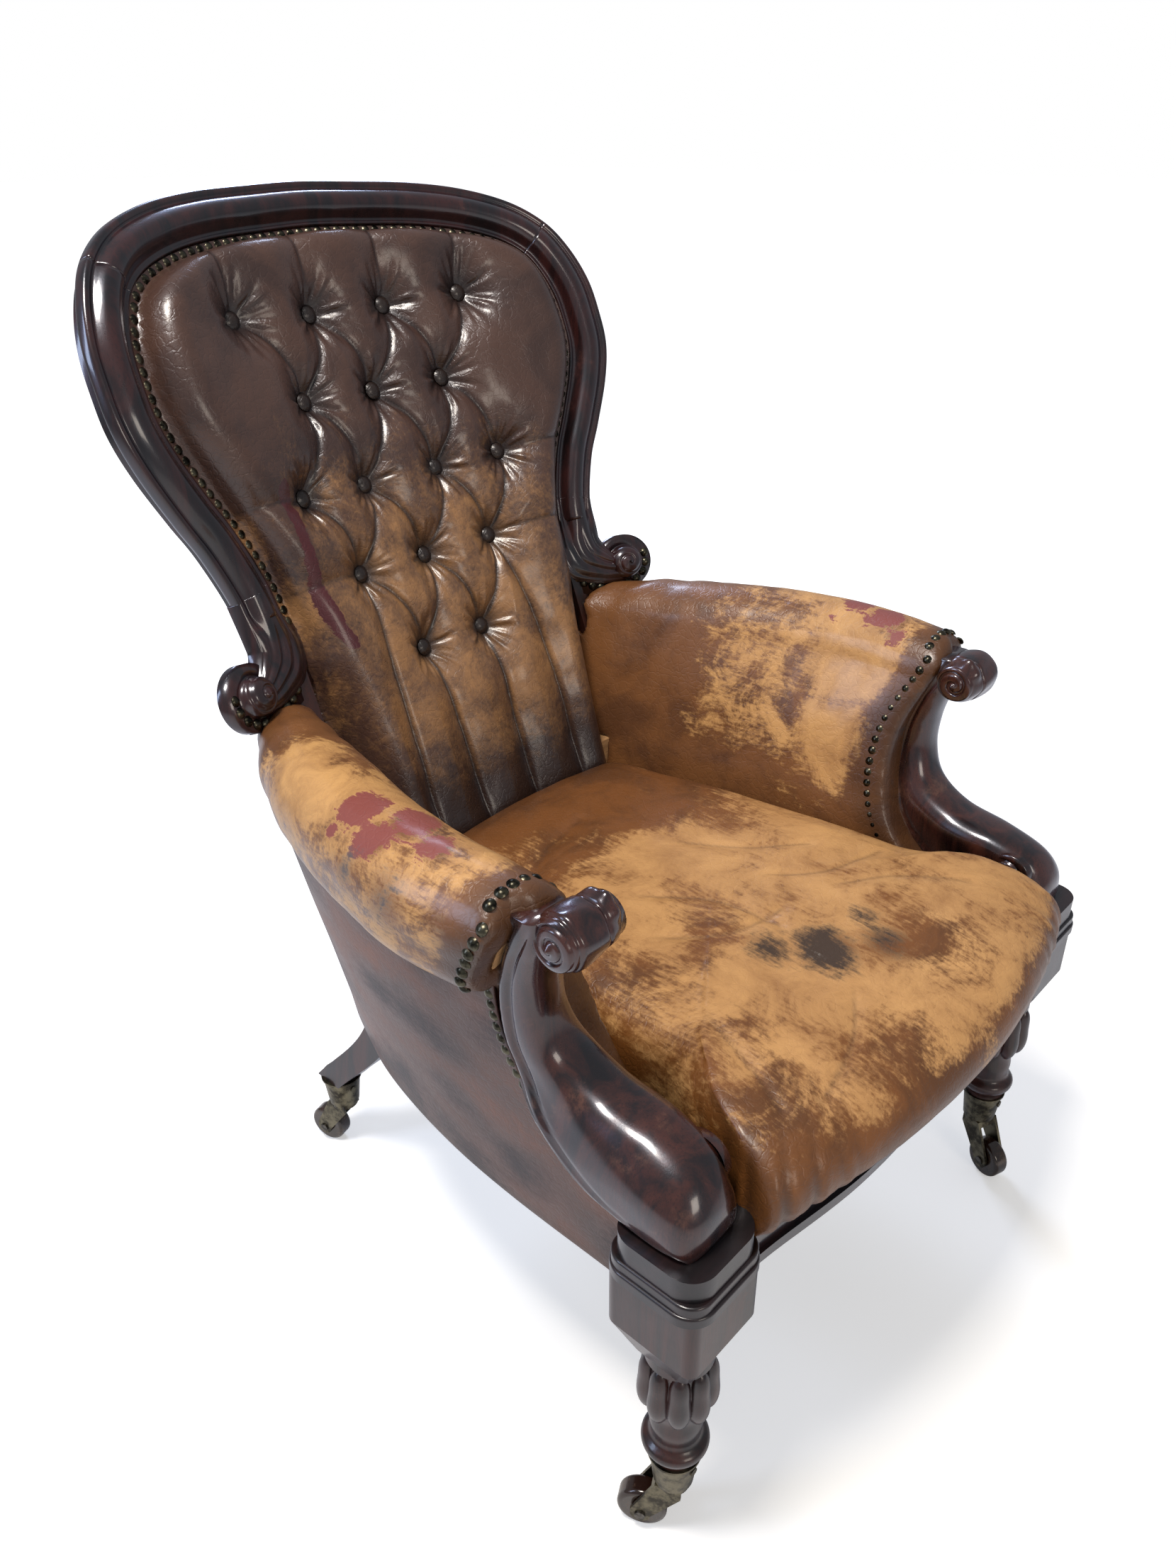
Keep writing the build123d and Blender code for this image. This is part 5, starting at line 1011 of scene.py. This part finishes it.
def makeSeat():
    table = np.array(seat["levels"])
    spine = smoothLine(table, seat["rings"])
    rings = []
    for height, overhang, sideInset, rearInset, bow in spine:
        ring = easeRing(seatRing(overhang, sideInset, rearInset, bow), 10 + int(60 * max(height - 0.5, 0)))
        rings.append(np.column_stack([ring, np.full(len(ring), seat["base"] + height * seat["height"])]))
    top = rings[-1]
    centre = np.array([0.0, seat["centreY"]])
    for k in range(1, seat["topRings"]):
        r = 1 - k / (seat["topRings"] - 0.5)
        flat = centre + (top[:, :2] - centre) * r
        z = top[:, 2] + seat["dome"] * (1 - r ** 2)
        rings.append(np.column_stack([flat, z]))
    count = len(top)
    points = np.vstack(rings)
    x, y, z = points.T
    rise = smoothStep(seat["base"], seat["base"] + 60, z)

    # waves over the springs, drag lines from the corners and a few long creases
    wave = softNoise(points, 85, 7.0)
    small = softNoise(points, 24, 2.0)
    z = z + rise * (seat["waves"][0] * wave + seat["waves"][1] * small)
    crease = np.zeros(len(points))
    for line, depth, width in seat["creases"]:
        gap, along, side, _ = lineDistance(points[:, :2], smoothLine(line, 14))
        fade = np.clip(along / 25, 0, 1)
        z = z - rise * depth * fade * bell(gap, width)
        # painted shade: dark along each crease line
        crease = np.maximum(crease, 0.35 * fade * bell(gap, 1.6) * (z > 395))
    out = unit(points[:, :2] - centre, 1e-9)
    push = np.zeros(len(points))
    for side in (1, -1):
        corner = np.hypot(x - side * seat["gatherAt"][0], y + seat["gatherAt"][1])
        turn = np.arctan2(y - seat["centreY"], x * side)
        folds = np.sin(turn * 95 + 1.5 * wave) + 0.5 * np.sin(turn * 160 + 2)
        reach = bell(corner, seat["gatherReach"]) * smoothStep(430, 360, z)
        push += seat["gathers"] * folds * reach
        # painted shade in the hollows of the gathers' folds
        crease = np.maximum(crease, 0.55 * np.clip(-folds, 0, 1) * reach)
    points = np.column_stack([x + out[:, 0] * push, y + out[:, 1] * push, z])
    # painted shade low on the cushion, under its bulging edge; darker towards the back, where it meets the
    # back pad
    crease = np.maximum(crease, 0.55 * smoothStep(330, 308, z))
    crease = np.maximum(crease, 0.35 * smoothStep(60, 110, y))
    last = len(points)
    points = np.vstack([points, [centre[0], centre[1], points[-count:, 2].mean()],
                        [centre[0], centre[1], seat["base"] + 0.6]])
    faces = gridFaces(len(rings), count, closed=True)
    for k in range(count):
        j = (k + 1) % count
        faces.append((last - count + k, last - count + j, last))
        faces.append((j, k, last + 1))
    piece = addPiece("seatCushion", points, faces, "leather_seat", ["seat_cover", "seat_stuffing"])
    crease = np.append(np.clip(crease, 0, 0.9), [0, 0])
    x, y, z = points.T
    worn = (seat["rubbed"] * smoothStep(*seat["rubbedZ"], z) * (0.55 + 0.45 * smoothStep(*seat["rubbedY"], y))
            * smoothStep(*seat["dyedRear"], y) * smoothStep(*seat["rubbedX"], np.abs(x) + 0.1 * y))
    worn = np.maximum(worn, blobs(points, seat["worn"])) - blobs(points, seat["dyed"])
    paint(piece, worn=np.clip(worn, 0, 1), dark=blobs(points, seat["dark"]),
          red=blobs(points, seat["red"]), crease=crease)


seat["creases"] = [
    ([(-70, -90), (-30, -150), (-20, -215)], 2.4, 7), ([(20, -60), (60, -120), (110, -160)], 2.0, 7),
    ([(-110, -140), (-60, -190), (0, -205)], 1.8, 6), ([(60, -215), (120, -250), (160, -300)], 1.5, 6),
    ([(-40, -300), (-90, -330), (-150, -345)], 1.6, 6), ([(-140, -40), (-80, 10), (0, 30)], 2.2, 9),
    ([(30, -160), (80, -200), (150, -215)], 1.5, 5), ([(-150, -230), (-170, -290), (-185, -330)], 1.8, 6)]
seat["worn"] = [(0, -76, 425, 110, 1.0), (78, 20, 420, 60, 0.7), (112, -296, 420, 80, 0.95),
                (-179, -272, 410, 110, 1.0), (-60, -250, 428, 150, 0.95), (60, -180, 428, 110, 0.9),
                (-100, -160, 425, 110, 0.9), (180, -340, 390, 60, 0.6), (20, -380, 380, 90, 0.5)]
seat["dark"] = [(-20, -262, 428, 62, 0.86), (-52, -228, 428, 50, 0.72), (24, -292, 427, 54, 0.76),
                (44, -262, 427, 40, 0.6), (-157, -339, 400, 26, 0.55), (-150, -298, 410, 20, 0.5)]
seat["dyed"] = [(91, 7, 425, 80, 0.3), (102, -62, 425, 50, 0.3), (11, 60, 425, 70, 0.3),
                (-183, -273, 415, 70, 0.36), (-75, -169, 428, 60, 0.24), (62, -322, 425, 60, 0.36),
                (-71, -373, 410, 60, 0.34), (-191, -345, 390, 70, 0.4), (-156, -171, 415, 60, 0.3)]
seat["red"] = [(-27, -260, 431, 22, 1.15)]
makeSeat()
print("seat made")


# Outside leather: side panels from the frame down to the rail, and the outside back

tub = {"halfWidth": 300.0, "depth": 500.0, "frontY": -288.0, "lowZ": 241.4, "highZ": 501.4,
       "top": [(1.0, 0.12), (1.0, 0.21), (1.0, 0.37), (0.997, 0.51), (0.97, 0.67), (0.92, 0.79), (0.85, 0.88),
               (0.76, 0.95), (0.69, 0.976)],
       "bottom": [(0.877, 0.0), (0.877, 0.15), (0.873, 0.30), (0.862, 0.44), (0.83, 0.58), (0.785, 0.70),
                  (0.725, 0.80), (0.668, 0.88), (0.62, 0.925)],
       "proud": 0.6, "thickness": 1.6, "belly": 0.9, "legY": -273.5, "columns": 150, "rows": 90}


def makeSidePanel(name, side):
    columns, rows = tub["columns"], tub["rows"]
    low, high = [smoothLine([(a * tub["halfWidth"], tub["frontY"] + b * tub["depth"]) for a, b in tub[key]],
                            200) for key in ("bottom", "top")]
    grid = []
    for z in np.linspace(tub["lowZ"] + 0.5, tub["highZ"] + 6, rows):
        share = (z - tub["lowZ"]) / (tub["highZ"] - tub["lowZ"])
        level = low + (high - low) * share
        run = unit(np.gradient(level, axis=0))
        level = level + np.stack([run[:, 1], -run[:, 0]], 1) * tub["proud"]
        front = facingBackAt(z) + 0.5 if z > facing["footZ"] else tub["legY"]
        keep = np.interp(np.linspace(0, 1, columns), [0, 1], [front, level[-1, 1]])
        order = np.argsort(level[:, 1])
        x = np.interp(keep, level[order, 1], level[order, 0])
        grid.append(np.column_stack([side * x, keep, np.full(columns, z)]))
    outer = np.array(grid).reshape(-1, 3)
    belly = softNoise(outer, 90, 5.0 + side)
    inner = outer + [-side * tub["thickness"], 0, 0]
    outer[:, 0] += side * tub["belly"] * (belly + 1)
    points = np.vstack([outer, inner])
    count = len(outer)
    faces = gridFaces(rows, columns)
    faces += [tuple(count + k for k in reversed(f)) for f in faces]
    rim = ([c for c in range(columns)] + [r * columns + columns - 1 for r in range(1, rows)]
           + [(rows - 1) * columns + c for c in range(columns - 2, -1, -1)]
           + [r * columns for r in range(rows - 2, 0, -1)])
    for a, b in zip(rim, rim[1:] + rim[:1]):
        faces.append((b, a, count + a, count + b))
    piece = addPiece("sidePanel_" + name, points, sided(faces, side), "leather_panel",
                     ["outside_arm_panel_" + name])
    x, _, z = points.T
    streak = softNoise(points * [1, 1, 1.6], 75, 8.0)
    # painted shade at the top, under the arm's roll; darker at the foot, by the rail
    crease = 0.5 * smoothStep(470, 500, z) + 0.35 * smoothStep(262, 244, z)
    paint(piece, dark=np.clip(0.34 + 0.50 * streak, 0, 1), worn=np.clip(0.26 - 0.55 * streak, 0, 1),
          red=0 * x, crease=np.clip(crease, 0, 0.7))


for name, side in sides.items():
    makeSidePanel(name, side)


outside = {"voxel": 3.0, "easing": 3, "swell": 0.5, "belly": 0.8, "ripple": 0.25, "widenedFrom": (60, 190),
           "reach": 1.5, "footReach": 7.5, "footZ": (400, 290)}


def makeOutsideBack():
    points, normals, faces = softCopy("outside_back_panel", "outsideBack", outside["voxel"],
                                      outside["easing"])
    belly = softNoise(points, 110, 3.0)
    small = softNoise(points, 30, 6.0)
    points = points + normals * (outside["swell"] + outside["belly"] * belly
                                 + outside["ripple"] * small)[:, None]
    # its edges turn round the rear legs
    x, _, z = points.T
    points[:, 0] += (np.sign(x) * smoothStep(*outside["widenedFrom"], np.abs(x))
                     * (outside["reach"] + outside["footReach"] * smoothStep(*outside["footZ"], z)))
    piece = addPiece("outsideBack", points, faces, "leather_panel", ["outside_back_panel"])
    streak = softNoise(points, 90, 2.0)
    paint(piece, dark=np.clip(0.34 + 0.40 * streak, 0, 1), worn=np.clip(0.24 - 0.45 * streak, 0, 1),
          red=0 * streak, crease=0 * streak)


makeOutsideBack()
print("outside leather made")


# The dust cloth under the seat: cut to the rails, stretched and tacked, sagging a little between them

dustCloth = {"step": 16.0, "sag": 1.1, "wave": 0.5,
             "rests": ["front_seat_rail", "rear_seat_rail", "side_seat_rail_left", "side_seat_rail_right"]}


def makeDustCloth():
    weave = bmesh.new()
    weave.from_mesh(nodes["bottom_cloth"].data)
    bmesh.ops.remove_doubles(weave, verts=weave.verts, dist=0.00001)
    for _ in range(7):
        bmesh.ops.triangulate(weave, faces=weave.faces)
        long = [edge for edge in weave.edges if edge.calc_length() > dustCloth["step"] * mm]
        if long:
            bmesh.ops.subdivide_edges(weave, edges=long, cuts=1)
    bmesh.ops.triangulate(weave, faces=weave.faces)
    weave.verts.index_update()
    points = np.array([tuple(v.co) for v in weave.verts]) / mm
    faces = [tuple(v.index for v in f.verts) for f in weave.faces]
    area = sum(f.calc_area() for f in weave.faces if f.normal.z < -0.5)
    weave.free()
    low, high = points.min(0), points.max(0)
    middle, half = (low + high) / 2, (high - low) / 2
    share = np.clip(1 - np.abs((points[:, :2] - middle[:2]) / half[:2]) ** 2, 0, 1)
    points[:, 2] -= share.prod(1) * (dustCloth["sag"] + dustCloth["wave"] * softNoise(points, 90, 4.0))
    piece = addPiece("dustCloth", points, faces, "blackCotton", ["bottom_cloth"], smooth=False)


makeDustCloth()
print("dust cloth made")


# Floor, background and lamps: plain white studio, with the window light of the photograph

stage = {"floor": "#e9e9e9", "reach": 30.0, "glow": (0.42, 0.95), "glowFrom": (0.7, 2.6),
         "sky": "#f2f4f8", "skyStrength": 0.34, "white": (1, 1, 1, 1)}


def addStage():
    # the floor glows a little for the camera, more with distance, so that it meets the white
    # background without an edge
    material, tree = newMaterial("whiteStage")
    seen = addNode(tree, "LightPath", output="Is Camera Ray")
    plain = addNode(tree, "BsdfDiffuse", {"Color": toLinear(stage["floor"])})
    place = addNode(tree, "TexCoord", output="Object")
    away = addNode(tree, "VectorMath", {0: place}, "Value", operation="LENGTH")
    strength = addNode(tree, "MapRange", {"Value": away, "From Min": stage["glowFrom"][0],
                                          "From Max": stage["glowFrom"][1], "To Min": stage["glow"][0],
                                          "To Max": stage["glow"][1]}, interpolation_type="SMOOTHSTEP")
    glow = addNode(tree, "Emission", {"Color": stage["white"], "Strength": strength})
    both = addNode(tree, "AddShader", {0: plain, 1: glow})
    mix = addNode(tree, "MixShader", {0: seen, 1: plain, 2: both})
    addNode(tree, "OutputMaterial", {"Surface": mix})
    mesh = bpy.data.meshes.new("studioFloor")
    reach = stage["reach"]
    mesh.from_pydata([(-reach, -reach, 0), (reach, -reach, 0), (reach, reach, 0), (-reach, reach, 0)], [],
                     [(0, 1, 2, 3)])
    mesh.materials.append(material)
    addObject("studioFloor", mesh)

    world = bpy.data.worlds.new("studioWorld")
    bpy.context.scene.world = world
    world.use_nodes = True
    tree = world.node_tree
    tree.nodes.clear()
    seen = addNode(tree, "LightPath", output="Is Camera Ray")
    soft = addNode(tree, "Background", {"Color": toLinear(stage["sky"]), "Strength": stage["skyStrength"]})
    white = addNode(tree, "Background", {"Color": stage["white"], "Strength": 1.0})
    mix = addNode(tree, "MixShader", {0: seen, 1: soft, 2: white})
    addNode(tree, "OutputWorld", {"Surface": mix})


lamps = {
    "windowLeft": {"place": (-2.0, 1.0, 1.7), "aim": (0, 0, 0.6), "size": (0.5, 1.2), "power": 17,
                   "colour": "#cfe0ff"},
    "windowFar": {"place": (1.4, 2.2, 2.1), "aim": (0, 0, 0.6), "size": (0.8, 1.0), "power": 40,
                  "colour": "#d6e4ff"},
    "ceiling": {"place": (-0.9, -0.1, 2.9), "aim": (0, 0, 0.4), "size": (0.6, 0.6), "power": 66,
                "colour": "#fff6ea"},
    "fillFront": {"place": (-0.9, -3.0, 1.6), "aim": (0, 0, 0.4), "size": (1.0, 1.0), "power": 18,
                  "colour": "#fff1e0"}}


def addLamps():
    for name, lamp in lamps.items():
        data = bpy.data.lights.new(name, "AREA")
        data.shape = "RECTANGLE"
        data.size, data.size_y = lamp["size"]
        data.energy = lamp["power"]
        data.color = toLinear(lamp["colour"])[:3]
        piece = addObject(name, data)
        piece.location = lamp["place"]
        aim = Vector(lamp["aim"]) - Vector(lamp["place"])
        piece.rotation_euler = aim.to_track_quat("-Z", "Y").to_euler()


addStage()
addLamps()
bpy.context.scene.view_settings.view_transform = "Standard"
print("stage and lamps set")
